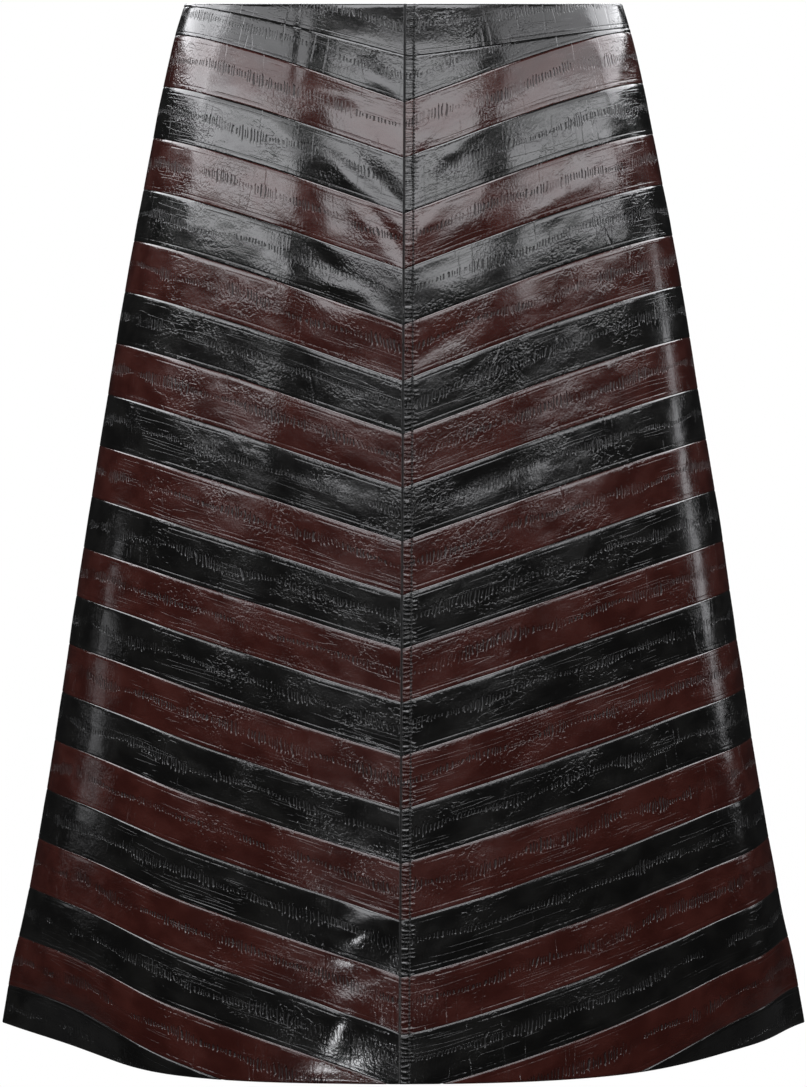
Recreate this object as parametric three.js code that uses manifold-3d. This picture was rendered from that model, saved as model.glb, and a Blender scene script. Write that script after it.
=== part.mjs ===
// An A-line leather skirt pieced from slanting strips that meet in chevrons, in its worn, hollow form.
// Millimetres. +Z is up, the front faces -Y, and +X is on the right as seen from the front.
// The origin is the centre of the waist opening, at the height of its folded edge.
//
// Each half of the skirt is a stack of bands. A band is a front strip and a back strip of one colour,
// sewn together at the side seam. The top two bands are black, and below them the colours take turns.
// The lowest bands, which are the longest, have their front and back strips as pieces of their own.
// A concealed zip closes the centre back seam.

import * as THREE from "three";
import { mergeVertices } from "three/addons/utils/BufferGeometryUtils.js";
import Module from "manifold-3d";

const wasm = await Module();
wasm.setup();

// Driving dimensions of the cloth
const LENGTH = 684; // from the waist edge straight down to the hem
const WALL = 1.6; // leather with its fused backing
const SEAM_GAP = 0.3; // parting between two pieces at a seam
const THINNEST_END = 1.2; // a band that the hem cuts away ends where it is this high

// The worn form, with a row for each level. A quarter of a level is a curve from the centre line to
// the side: flat is how far it runs straight off the centre, as a share of the half width; round is how
// far it runs straight off the side, as a share of the depth; pinch leans the side into an edge.
const SECTIONS = [
  { drop: 0, halfWidth: 144.6, front: 98, back: 92, flat: 0.56, round: 0.55, pinch: 0 },
  { drop: 22, halfWidth: 151.3, front: 104, back: 99, flat: 0.56, round: 0.55, pinch: 0 },
  { drop: 55, halfWidth: 159.0, front: 111, back: 109, flat: 0.57, round: 0.55, pinch: 0 },
  { drop: 105, halfWidth: 169.0, front: 120, back: 124, flat: 0.58, round: 0.54, pinch: 0 },
  { drop: 170, halfWidth: 181.6, front: 130, back: 140, flat: 0.59, round: 0.52, pinch: 0.01 },
  { drop: 240, halfWidth: 193.8, front: 139, back: 150, flat: 0.6, round: 0.5, pinch: 0.02 },
  { drop: 338, halfWidth: 210.3, front: 153, back: 160, flat: 0.62, round: 0.48, pinch: 0.03 },
  { drop: 440, halfWidth: 226.0, front: 168, back: 172, flat: 0.63, round: 0.47, pinch: 0.04 },
  { drop: 540, halfWidth: 242.3, front: 183, back: 184, flat: 0.65, round: 0.47, pinch: 0.05 },
  { drop: 608, halfWidth: 255.0, front: 193, back: 192, flat: 0.67, round: 0.47, pinch: 0.08 },
  { drop: 645, halfWidth: 263.8, front: 199, back: 197, flat: 0.69, round: 0.48, pinch: 0.14 },
  { drop: LENGTH, halfWidth: 271.0, front: 205, back: 202, flat: 0.72, round: 0.48, pinch: 0.22 },
];

// The soft folds that the flare hangs in. half is -1 on the left and 1 on the right as seen from the
// front; at and width are in quarters of the round, counted from the centre front; size is how far the
// fold stands out at the hem, or lies in where it is negative; start is the drop where it begins.
const FOLDS = [
  { half: -1, at: 0.7, width: 0.3, size: -8, start: 330 },
  { half: -1, at: 0.36, width: 0.28, size: 4, start: 360 },
  { half: 1, at: 0.82, width: 0.16, size: 3, start: 320 },
  { half: 1, at: 0.6, width: 0.22, size: -2.5, start: 360 },
  { half: -1, at: 1.28, width: 0.24, size: -5, start: 250 },
  { half: -1, at: 1.6, width: 0.26, size: 6, start: 220 },
  { half: 1, at: 1.3, width: 0.26, size: -4.5, start: 280 },
  { half: 1, at: 1.64, width: 0.26, size: 5.5, start: 240 },
];

// The slanting seams, numbered down from the waist: the drops where some of them meet the centre seams
// and the side seams, and how far they sag in the left and right halves, most a quarter of the way out.
// The seams between two rows lie evenly between them.
const SEAMS = [
  { number: 1, centre: 33, leftSide: 2.6, rightSide: 16, leftSag: 0, rightSag: 2 },
  { number: 2, centre: 62.8, leftSide: 21.5, rightSide: 19.5, leftSag: 0, rightSag: 0 },
  { number: 7, centre: 240.2, leftSide: 190.8, rightSide: 187, leftSag: 0, rightSag: -1 },
  { number: 12, centre: 409.9, leftSide: 361.4, rightSide: 357, leftSag: 0, rightSag: 0 },
  { number: 16, centre: 545.5, leftSide: 490.9, rightSide: 489.5, leftSag: 0, rightSag: 0 },
  { number: 21, centre: 723.5, leftSide: 658.3, rightSide: 659, leftSag: -5, rightSag: 6.5 },
];
const SEAM_COUNT = 21;
const SEAM_SWEEP = 1.76; // radians of a sine that a seam follows: it is highest just before the side
const SIDE_SEAM = { halfWidth: 1.5, depth: 0.6 };
const FIRST_PARTED = 17; // from this band down, the side seam parts the front strip from the back strip

// Columns of the bands' walls
const COLUMNS_PER_QUARTER = 12;

// The concealed zip at the centre back
const ZIP = { top: 3, bottom: 200, halfWidth: 12, tape: 1, inset: 0.7, rows: 8 };
const COIL = { halfWidth: 2.2, slope: 0.4, height: 2.2 };
const SLIDER = { drop: 10, plate: 1.2, lift: 0.3, up: 3.2, down: 7, topRadius: 2.3, footRadius: 1.5 };
const BRIDGE = { halfWidth: 0.8, window: 1.5, bar: 0.9, post: 0.9, chamfer: 0.6, above: 0.75, length: 4.6 };
const TAB = { thickness: 0.8, halfWidth: 2.9, shoulder: 7.2, neck: 3, end: 19 };
const EYE = { halfWidth: 1.2, end: 5.35, rail: 1 };

const BLACK_LEATHER = { color: 0x151617, roughness: 0.32, metalness: 0 };
const OXBLOOD_LEATHER = { color: 0x3d1a17, roughness: 0.34, metalness: 0 };
const ZIP_TAPE = { color: 0x1a1a1b, roughness: 0.8, metalness: 0 };
const ZIP_METAL = { color: 0x2a2b2d, roughness: 0.35, metalness: 0.8 };

// A smooth value from a column of the section table at a drop, by a cubic through its rows.
function fromSections(column, drop) {
  const last = SECTIONS.length - 1;
  let row = 0;
  while (row < last - 1 && SECTIONS[row + 1].drop <= drop) row += 1;
  const slopeAt = (i) => {
    const above = SECTIONS[Math.max(i - 1, 0)];
    const below = SECTIONS[Math.min(i + 1, last)];
    return (below[column] - above[column]) / (below.drop - above.drop);
  };
  const upper = SECTIONS[row];
  const lower = SECTIONS[row + 1];
  const step = lower.drop - upper.drop;
  const s = (drop - upper.drop) / step;
  const rise = s * s * (3 - 2 * s);
  return (
    upper[column] * (1 - rise) +
    lower[column] * rise +
    slopeAt(row) * step * s * (1 - s) * (1 - s) -
    slopeAt(row + 1) * step * s * s * (1 - s)
  );
}

// A quarter of the level at a drop, as a plane curve of (sideways, depth) from the centre to the side.
function quarterAt(drop, depthColumn) {
  const halfWidth = fromSections("halfWidth", drop);
  const depth = fromSections(depthColumn, drop);
  return new THREE.CubicBezierCurve(
    new THREE.Vector2(0, depth),
    new THREE.Vector2(fromSections("flat", drop) * halfWidth, depth),
    new THREE.Vector2((1 - fromSections("pinch", drop)) * halfWidth, fromSections("round", drop) * depth),
    new THREE.Vector2(halfWidth, 0),
  );
}

// How far the folds move the wall out at a place of one half.
function foldAt(half, turn, drop) {
  let out = 0;
  for (const fold of FOLDS) {
    const off = Math.abs(turn - fold.at) / fold.width;
    if (fold.half !== half || off >= 1 || drop <= fold.start) continue;
    const grown = (drop - fold.start) / (LENGTH - fold.start);
    out += fold.size * grown * Math.cos((off * Math.PI) / 2) ** 2;
  }
  return out;
}

// A point of the wall. turn runs from 0 at the centre front over 1 at the side to 2 at the centre
// back, in equal lengths of cloth, and inset is the depth under the outer face.
function wallPoint(half, turn, drop, inset) {
  const isFront = turn <= 1;
  const quarter = quarterAt(drop, isFront ? "front" : "back");
  const share = isFront ? turn : 2 - turn;
  const place = quarter.getPointAt(share);
  const way = turn === 1 ? new THREE.Vector2(0, -1) : quarter.getTangentAt(share);
  const out = foldAt(half, turn, drop) - inset;
  const sideways = Math.max(place.x - way.y * out, SEAM_GAP / 2);
  const depth = place.y + way.x * out;
  return new THREE.Vector3(half * sideways, isFront ? -depth : depth, -drop);
}

// The drop of a slanting seam. A strip leaves the centre on the slant and runs level into the side.
function seamDrop(half, number, turn) {
  const share = turn <= 1 ? turn : 2 - turn;
  const row = Math.max(SEAMS.findIndex((seam) => seam.number >= number), 1);
  const part = (number - SEAMS[row - 1].number) / (SEAMS[row].number - SEAMS[row - 1].number);
  const value = (column) => THREE.MathUtils.lerp(SEAMS[row - 1][column], SEAMS[row][column], part);
  const side = value(half < 0 ? "leftSide" : "rightSide");
  const sag = value(half < 0 ? "leftSag" : "rightSag") * Math.sin(Math.PI * Math.sqrt(share));
  return THREE.MathUtils.lerp(value("centre"), side, Math.sin(share * SEAM_SWEEP) / Math.sin(SEAM_SWEEP)) + sag;
}

// The upper and lower edge of a band at a turn, as drops. The waist and the hem cut the outer bands.
function bandEdges(half, number, turn) {
  const upper = number === 1 ? 0 : seamDrop(half, number - 1, turn) + SEAM_GAP / 2;
  const lower = number > SEAM_COUNT ? LENGTH : seamDrop(half, number, turn) - SEAM_GAP / 2;
  return { upper, lower: Math.min(lower, LENGTH) };
}

// The turn, from the centre, where a seam comes up to a height over the hem: 0 where it is never lower.
function hemCrossing(half, number, height) {
  if (seamDrop(half, number, 0) < LENGTH - height) return 0;
  let outside = 0;
  let inside = 1;
  for (let halving = 0; halving < 40; halving += 1) {
    const middle = (outside + inside) / 2;
    if (seamDrop(half, number, middle) < LENGTH - height) inside = middle;
    else outside = middle;
  }
  return inside;
}

// The turns of the wall's columns, which the bands of a half share, from centre front to centre back.
function columnTurns(half) {
  const groove = SIDE_SEAM.halfWidth / quarterAt(LENGTH / 2, "front").getLength();
  const step = (1 - groove) / COLUMNS_PER_QUARTER;
  const quarter = Array.from({ length: COLUMNS_PER_QUARTER + 1 }, (_, i) => i * step);
  for (const number of [SEAM_COUNT - 1, SEAM_COUNT])
    quarter.push(hemCrossing(half, number, SEAM_GAP / 2), hemCrossing(half, number, THINNEST_END));
  const front = [...new Set(quarter)].sort((a, b) => a - b);
  return [...front, 1, ...front.map((turn) => 2 - turn).reverse()];
}

// A box of the given columns, each of whose points is moved to where place says. across is the number
// of the column, up is 0 at the lower and 1 at the upper edge, and over is 0 inside and 1 outside.
function wrappedBox(columns, rows, place) {
  const geometry = new THREE.BoxGeometry(1, 1, 1, columns, rows, 1);
  const points = geometry.getAttribute("position");
  for (let i = 0; i < points.count; i += 1) {
    const across = Math.round((points.getX(i) + 0.5) * columns);
    const target = place(across, points.getY(i) + 0.5, points.getZ(i) + 0.5);
    points.setXYZ(i, target.x, target.y, target.z);
  }
  geometry.computeVertexNormals();
  return geometry;
}

// The pieces that a band is made of. from and to are the turns where a piece starts and ends, and parted
// moves its side edge to the front or the back, to leave the parting.
const WHOLE = [{ ending: "", from: 0, to: 2, parted: 0 }];
const FRONT_AND_BACK = [
  { ending: "_front", from: 0, to: 1, parted: -SEAM_GAP / 2 },
  { ending: "_back", from: 1, to: 2, parted: SEAM_GAP / 2 },
];

// One piece of a band of one half. A whole band runs from the centre front round the side to the centre back.
function bandGeometry(half, number, turns, piece) {
  const start = number === 1 ? 0 : hemCrossing(half, number - 1, THINNEST_END);
  const first = Math.max(start, piece.from);
  const last = Math.min(2 - start, piece.to);
  const used = turns.filter((turn) => turn >= first && turn <= last);
  return wrappedBox(used.length - 1, 1, (across, up, over) => {
    const turn = used[half > 0 ? across : used.length - 1 - across];
    const edges = bandEdges(half, number, turn);
    const drop = edges.lower + (edges.upper - edges.lower) * up;
    const sunk = turn === 1 ? SIDE_SEAM.depth : 0;
    const point = wallPoint(half, turn, drop, over > 0.5 ? sunk : WALL);
    if (turn === 1) point.y += piece.parted;
    return point;
  });
}

// The closed zip's two tapes and coil, one strip that lies inside the centre back seam.
function zipTapeGeometry() {
  const foot = COIL.halfWidth + COIL.slope;
  const places = [-ZIP.halfWidth, -foot, -COIL.halfWidth, COIL.halfWidth, foot, ZIP.halfWidth];
  return wrappedBox(places.length - 1, ZIP.rows, (across, up, over) => {
    const sideways = places[places.length - 1 - across];
    const drop = ZIP.bottom + (ZIP.top - ZIP.bottom) * up;
    const turn = 2 - Math.abs(sideways) / quarterAt(drop, "back").getLength();
    const thick = Math.abs(sideways) <= COIL.halfWidth ? COIL.height : ZIP.tape;
    return wallPoint(Math.sign(sideways), turn, drop, WALL + ZIP.inset + (over > 0.5 ? 0 : thick));
  });
}

// A closed geometry as a solid that can be joined.
function solidOf(geometry) {
  const bare = geometry.clone();
  bare.deleteAttribute("normal");
  bare.deleteAttribute("uv");
  const merged = mergeVertices(bare);
  const vertProperties = merged.getAttribute("position").array;
  const triVerts = Uint32Array.from(merged.getIndex().array);
  return new wasm.Manifold(new wasm.Mesh({ numProp: 3, vertProperties, triVerts }));
}

function geometryOf(solid) {
  const { vertProperties, triVerts } = solid.getMesh();
  const geometry = new THREE.BufferGeometry();
  geometry.setAttribute("position", new THREE.BufferAttribute(vertProperties, 3));
  geometry.setIndex(new THREE.BufferAttribute(triVerts, 1));
  geometry.computeVertexNormals();
  return geometry;
}

// The slider's plate, wide at the top where it takes in the two tapes. Like the bridge and the tab, it
// has the tab's pivot as its origin, +Z up the skirt and +Y away from the cloth.
function plateGeometry() {
  const face = new THREE.Shape();
  face.absarc(0, SLIDER.up - SLIDER.topRadius, SLIDER.topRadius, 0, Math.PI, false);
  face.absarc(0, SLIDER.footRadius - SLIDER.down, SLIDER.footRadius, Math.PI, 2 * Math.PI, false);
  face.closePath();
  return new THREE.ExtrudeGeometry(face, { depth: SLIDER.plate, bevelEnabled: false, curveSegments: 10 })
    .rotateX(Math.PI / 2)
    .translate(0, -BRIDGE.window / 2, 0);
}

// The bridge over the window that holds the tab, drawn in its side view and sunk into the plate.
function bridgeGeometry() {
  const back = -(BRIDGE.window + SLIDER.plate) / 2;
  const front = BRIDGE.window / 2 + BRIDGE.bar;
  const top = BRIDGE.above + BRIDGE.post;
  const foot = BRIDGE.above - BRIDGE.length - BRIDGE.post;
  const side = new THREE.Shape();
  side.moveTo(back, foot);
  side.lineTo(-BRIDGE.window / 2, foot);
  side.lineTo(front, foot + BRIDGE.chamfer);
  side.lineTo(front, top - BRIDGE.chamfer);
  side.lineTo(-BRIDGE.window / 2, top);
  side.lineTo(back, top);
  side.closePath();
  const window = new THREE.Path();
  window.moveTo(-BRIDGE.window / 2, BRIDGE.above - BRIDGE.length);
  window.lineTo(BRIDGE.window / 2, BRIDGE.above - BRIDGE.length);
  window.lineTo(BRIDGE.window / 2, BRIDGE.above);
  window.lineTo(-BRIDGE.window / 2, BRIDGE.above);
  window.closePath();
  side.holes.push(window);
  return new THREE.ExtrudeGeometry(side, { depth: 2 * BRIDGE.halfWidth, bevelEnabled: false })
    .translate(0, 0, -BRIDGE.halfWidth)
    .rotateY(-Math.PI / 2)
    .rotateX(Math.PI / 2)
    .rotateZ(Math.PI);
}

function sliderGeometry() {
  return geometryOf(solidOf(plateGeometry()).add(solidOf(bridgeGeometry())));
}

// The pull tab, a flat drop with an eye whose upper bar is the pivot under the bridge.
function tabGeometry() {
  const top = TAB.thickness / 2;
  const shoulderHalf = EYE.halfWidth + EYE.rail;
  const face = new THREE.Shape();
  face.moveTo(-shoulderHalf, top);
  face.lineTo(-shoulderHalf, -TAB.shoulder);
  face.quadraticCurveTo(-TAB.halfWidth, -TAB.shoulder - TAB.neck, -TAB.halfWidth, -TAB.end + TAB.halfWidth);
  face.absarc(0, -TAB.end + TAB.halfWidth, TAB.halfWidth, Math.PI, 2 * Math.PI, false);
  face.quadraticCurveTo(TAB.halfWidth, -TAB.shoulder - TAB.neck, shoulderHalf, -TAB.shoulder);
  face.lineTo(shoulderHalf, top);
  face.closePath();
  const eye = new THREE.Path();
  eye.moveTo(-EYE.halfWidth, -top);
  eye.lineTo(EYE.halfWidth, -top);
  eye.lineTo(EYE.halfWidth, -EYE.end);
  eye.lineTo(-EYE.halfWidth, -EYE.end);
  eye.closePath();
  face.holes.push(eye);
  return new THREE.ExtrudeGeometry(face, { depth: TAB.thickness, bevelEnabled: false, curveSegments: 6 })
    .translate(0, 0, -TAB.thickness / 2)
    .rotateX(Math.PI / 2);
}

function named(name, geometry, finish) {
  const mesh = new THREE.Mesh(geometry, new THREE.MeshStandardMaterial(finish));
  mesh.name = name;
  return mesh;
}

const skirt = new THREE.Group();
for (const half of [-1, 1]) {
  const turns = columnTurns(half);
  for (let number = 1; number <= SEAM_COUNT + 1; number += 1) {
    const name = `${half < 0 ? "left" : "right"}_band_${String(number).padStart(2, "0")}`;
    const finish = number === 1 || number % 2 === 0 ? BLACK_LEATHER : OXBLOOD_LEATHER;
    for (const piece of number < FIRST_PARTED ? WHOLE : FRONT_AND_BACK)
      skirt.add(named(name + piece.ending, bandGeometry(half, number, turns, piece), finish));
  }
}
skirt.add(named("zip_tape", zipTapeGeometry(), ZIP_TAPE));

// The slider and tab lie along the cloth at the top of the centre back seam, which leans outwards.
const above = wallPoint(1, 2, SLIDER.drop - SLIDER.up, 0);
const below = wallPoint(1, 2, SLIDER.drop + TAB.end, 0);
const lean = Math.atan2(below.y - above.y, above.z - below.z);
const pivotLift = SLIDER.lift + SLIDER.plate + BRIDGE.window / 2;
const zipPull = new THREE.Group();
zipPull.position.copy(wallPoint(1, 2, SLIDER.drop, 0)).setX(0);
zipPull.position.y += pivotLift * Math.cos(lean);
zipPull.position.z += pivotLift * Math.sin(lean);
zipPull.rotation.x = lean;
zipPull.add(named("zip_slider", sliderGeometry(), ZIP_METAL));
zipPull.add(named("zip_pull_tab", tabGeometry(), ZIP_METAL));
skirt.add(zipPull);

export default skirt;
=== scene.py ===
# %% [markdown]
# # A leather skirt pieced from slanting strips
# The real skirt is cut from long, narrow eel skins, sewn side by side into four panels: two for the front
# and two for the back. The skins slant down to the centre seams, so they meet there in chevrons.
# This lesson builds every strip as a piece of its own, lays it on the worn, filled-out form, and gives it
# the creases and the gloss that the real hide has. Sizes are metres, +Z is up and the front faces -Y.

# %% Load the frame
import math

import bmesh
import bpy
import numpy as np
from mathutils import Matrix, Vector, noise


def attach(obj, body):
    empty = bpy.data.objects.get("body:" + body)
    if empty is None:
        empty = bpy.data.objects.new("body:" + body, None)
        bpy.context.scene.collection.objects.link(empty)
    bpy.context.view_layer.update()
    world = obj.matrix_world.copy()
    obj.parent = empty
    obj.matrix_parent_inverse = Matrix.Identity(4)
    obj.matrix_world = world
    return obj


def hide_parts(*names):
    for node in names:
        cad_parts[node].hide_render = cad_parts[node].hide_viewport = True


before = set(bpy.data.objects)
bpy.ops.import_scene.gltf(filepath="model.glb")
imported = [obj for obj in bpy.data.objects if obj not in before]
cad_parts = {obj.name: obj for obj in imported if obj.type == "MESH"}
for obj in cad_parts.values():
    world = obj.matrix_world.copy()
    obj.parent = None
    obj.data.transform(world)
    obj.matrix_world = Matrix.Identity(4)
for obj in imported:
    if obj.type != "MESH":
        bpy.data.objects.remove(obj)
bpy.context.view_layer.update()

# %% [markdown]
# ## The camera
# A product photographer stands well back with a long lens, so that the hem doesn't bulge. Here the camera
# stands level with the waist and looks down a little, which shows the hem as a shallow arc.

# %% The camera
CAMERA_BACK = 3.5
LOOKS_AT_DROP = 0.359
FOCAL_PIXELS = 5263
PHOTO_HEIGHT = 1087
SENSOR_MM = 36

camera_data = bpy.data.cameras.new("camera")
camera_data.sensor_width = SENSOR_MM
camera_data.lens = FOCAL_PIXELS / PHOTO_HEIGHT * SENSOR_MM
camera = bpy.data.objects.new("camera", camera_data)
camera.location = (0, -CAMERA_BACK, 0)
camera.rotation_euler = (math.pi / 2 - math.atan2(LOOKS_AT_DROP, CAMERA_BACK), 0, 0)
bpy.context.scene.collection.objects.link(camera)
bpy.context.scene.camera = camera
print("lens", round(camera_data.lens, 1), "mm")

# %% [markdown]
# ## The form
# A worn skirt is a tube that grows from the waist to the hem. Its level sections are what a pattern maker
# measures, so a short table of them holds the whole form: how wide it is, how deep in front and behind,
# and how square its corners are. A smooth cubic runs through the rows, and each quarter of a level is one
# Bezier curve.

# %% The sections
LENGTH = 0.684
SECTION_COLUMNS = ("drop", "half_width", "front", "back", "flat", "round", "pinch")
SECTIONS = np.array([
    (0.000, 0.1446, 0.098, 0.092, 0.56, 0.55, 0.00),
    (0.022, 0.1513, 0.104, 0.099, 0.56, 0.55, 0.00),
    (0.055, 0.1590, 0.111, 0.109, 0.57, 0.55, 0.00),
    (0.105, 0.1690, 0.120, 0.124, 0.58, 0.54, 0.00),
    (0.170, 0.1816, 0.130, 0.140, 0.59, 0.52, 0.01),
    (0.240, 0.1938, 0.139, 0.150, 0.60, 0.50, 0.02),
    (0.338, 0.2103, 0.153, 0.160, 0.62, 0.48, 0.03),
    (0.440, 0.2260, 0.168, 0.172, 0.63, 0.47, 0.04),
    (0.540, 0.2423, 0.183, 0.184, 0.65, 0.47, 0.05),
    (0.608, 0.2550, 0.193, 0.192, 0.67, 0.47, 0.08),
    (0.645, 0.2638, 0.199, 0.197, 0.69, 0.48, 0.14),
    (LENGTH, 0.2710, 0.205, 0.202, 0.72, 0.48, 0.22),
])


def from_sections(column, drop):
    """A smooth value from one column at these drops, by a cubic through the rows."""
    drops, values = SECTIONS[:, 0], SECTIONS[:, SECTION_COLUMNS.index(column)]
    last = len(drops) - 1
    above, below = np.maximum(np.arange(last + 1) - 1, 0), np.minimum(np.arange(last + 1) + 1, last)
    slopes = (values[below] - values[above]) / (drops[below] - drops[above])
    row = np.clip(np.searchsorted(drops, drop, side="right") - 1, 0, last - 1)
    step = drops[row + 1] - drops[row]
    s = (drop - drops[row]) / step
    rise = s * s * (3 - 2 * s)
    bend = slopes[row] * (1 - s) - slopes[row + 1] * s
    return values[row] * (1 - rise) + values[row + 1] * rise + bend * step * s * (1 - s)


print("waist", round(float(from_sections("half_width", 0.0)) * 2, 3), "m wide, hem",
      round(float(from_sections("half_width", LENGTH)) * 2, 3), "m wide")

# %% [markdown]
# ## From the flat cloth to the form
# A place on a panel is told by two numbers: its share of the way round from the centre seam to the side
# seam, and its drop from the waist. The share counts equal lengths of leather, so that the strips aren't
# stretched at the corners. The place then moves straight out from the wall for a fold or in for a crease.

# %% A place on the wall
CURVE_STEPS = np.linspace(0, 1, 49)


def bezier(corners, t):
    """The point and the direction at t of a plane cubic, whose four corners are arrays of (2, n)."""
    a, b, c, d = corners
    point = a * (1 - t) ** 3 + 3 * b * t * (1 - t) ** 2 + 3 * c * t * t * (1 - t) + d * t ** 3
    way = (b - a) * (1 - t) ** 2 + 2 * (c - b) * t * (1 - t) + (d - c) * t * t
    return point, way


def quarter_corners(side, drop):
    """The corners of the quarter round at these drops, as (sideways, depth)."""
    wide, deep = from_sections("half_width", drop), from_sections(side, drop)
    none = np.zeros_like(wide)
    return [
        np.array([none, deep]),
        np.array([from_sections("flat", drop) * wide, deep]),
        np.array([(1 - from_sections("pinch", drop)) * wide, from_sections("round", drop) * deep]),
        np.array([wide, none]),
    ]


def quarter_length(side, drop):
    """How far it is round a quarter at these drops."""
    corners = [c[..., None] for c in quarter_corners(side, np.atleast_1d(drop))]
    points, _ = bezier(corners, CURVE_STEPS)
    return np.linalg.norm(np.diff(points, axis=-1), axis=0).sum(axis=-1)


def on_quarter(side, share, drop):
    """The point, its unit direction along the level, and the quarter's length, for each share and drop."""
    corners = quarter_corners(side, drop)
    points, _ = bezier([c[..., None] for c in corners], CURVE_STEPS)
    gone = np.cumsum(np.linalg.norm(np.diff(points, axis=-1), axis=0), axis=-1)
    gone = np.concatenate([np.zeros((len(drop), 1)), gone], axis=1)
    goal = np.clip(share, 0, 1) * gone[:, -1]
    step = np.clip((gone < goal[:, None]).sum(axis=1) - 1, 0, len(CURVE_STEPS) - 2)
    each = np.arange(len(drop))
    part = (goal - gone[each, step]) / (gone[each, step + 1] - gone[each, step])
    t = CURVE_STEPS[step] + part * (CURVE_STEPS[1] - CURVE_STEPS[0])
    point, way = bezier(corners, t)
    return point, way / np.linalg.norm(way, axis=0), gone[:, -1]


print("quarter of the waist", round(float(quarter_length("front", 0.0)[0]), 3), "m, of the hem",
      round(float(quarter_length("front", LENGTH)[0]), 3), "m")

# %% [markdown]
# ## The folds of the flare
# Below the hip the leather is wider than the body, so it hangs in a few soft folds that grow towards the
# hem. They are large and shape the outline, so each has a row of its own: the half it is in (-1 is the
# left one, seen from the front), how far round it lies and how wide it is, both in quarters, how far it
# stands out at the hem and the drop where it begins.

# %% The folds
FOLDS = [
    (-1, 0.70, 0.30, -0.0080, 0.330),
    (-1, 0.36, 0.28, 0.0040, 0.360),
    (1, 0.82, 0.16, 0.0030, 0.320),
    (1, 0.60, 0.22, -0.0025, 0.360),
    (-1, 1.28, 0.24, -0.0050, 0.250),
    (-1, 1.60, 0.26, 0.0060, 0.220),
    (1, 1.30, 0.26, -0.0045, 0.280),
    (1, 1.64, 0.26, 0.0055, 0.240),
]


def folds_out(half, turn, drop):
    """How far the folds move the wall out. A turn runs from 0 in front over 1 at the side to 2 behind."""
    out = np.zeros_like(drop)
    for fold_half, at, width, size, start in FOLDS:
        off = np.minimum(np.abs(turn - at) / width, 1)
        grown = np.maximum((drop - start) / (LENGTH - start), 0)
        out += (fold_half == half) * size * grown * np.cos(off * math.pi / 2) ** 2
    return out


print(len(FOLDS), "folds")

# %% [markdown]
# ## The seams
# The slanting seams follow one rule, a sine that leaves the centre steeply and runs nearly level into the
# side. A few measured rows say where they meet the centre and the sides, and the seams between two rows
# lie evenly between them. The row numbered 0 lies over the waist: it only tells how much of the top
# strip's skin the waist edge cuts away.

# %% The seams
# Number, drop at the centre, at the left side and at the right side, sag on the left and on the right
SEAMS = np.array([
    (0, 0.0000, -0.0300, -0.0140, 0.0000, 0.0000),
    (1, 0.0330, 0.0026, 0.0160, 0.0000, 0.0020),
    (2, 0.0628, 0.0215, 0.0195, 0.0000, 0.0000),
    (7, 0.2402, 0.1908, 0.1870, 0.0000, -0.0010),
    (12, 0.4099, 0.3614, 0.3570, 0.0000, 0.0000),
    (16, 0.5455, 0.4909, 0.4895, 0.0000, 0.0000),
    (21, 0.7235, 0.6583, 0.6590, -0.0050, 0.0065),
])
SEAM_COUNT = 21
SEAM_SWEEP = 1.76
SEAM_GAP = 0.00002
SHARES = np.linspace(0, 1, 2001)


def seam_drop(half, number, share):
    """The drop of a slanting seam at these shares of a quarter."""
    row = int(np.clip(np.searchsorted(SEAMS[:, 0], number), 1, len(SEAMS) - 1))
    part = (number - SEAMS[row - 1, 0]) / (SEAMS[row, 0] - SEAMS[row - 1, 0])
    values = SEAMS[row - 1] + (SEAMS[row] - SEAMS[row - 1]) * part
    _, centre, left_side, right_side, left_sag, right_sag = values
    side, sag = (left_side, left_sag) if half < 0 else (right_side, right_sag)
    swept = np.sin(share * SEAM_SWEEP) / math.sin(SEAM_SWEEP)
    return centre + (side - centre) * swept + sag * np.sin(math.pi * np.sqrt(np.maximum(share, 0)))


def hem_share(half, number, height):
    """The share where a seam comes up to a height over the hem: 0 where it is never lower."""
    low = seam_drop(half, number, SHARES) >= LENGTH - height
    return float(SHARES[low.sum()]) if low.any() else 0.0


print("seam 1 meets the centre", round(float(seam_drop(1, 1, np.zeros(1))[0]) * 1000), "mm down")
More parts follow.
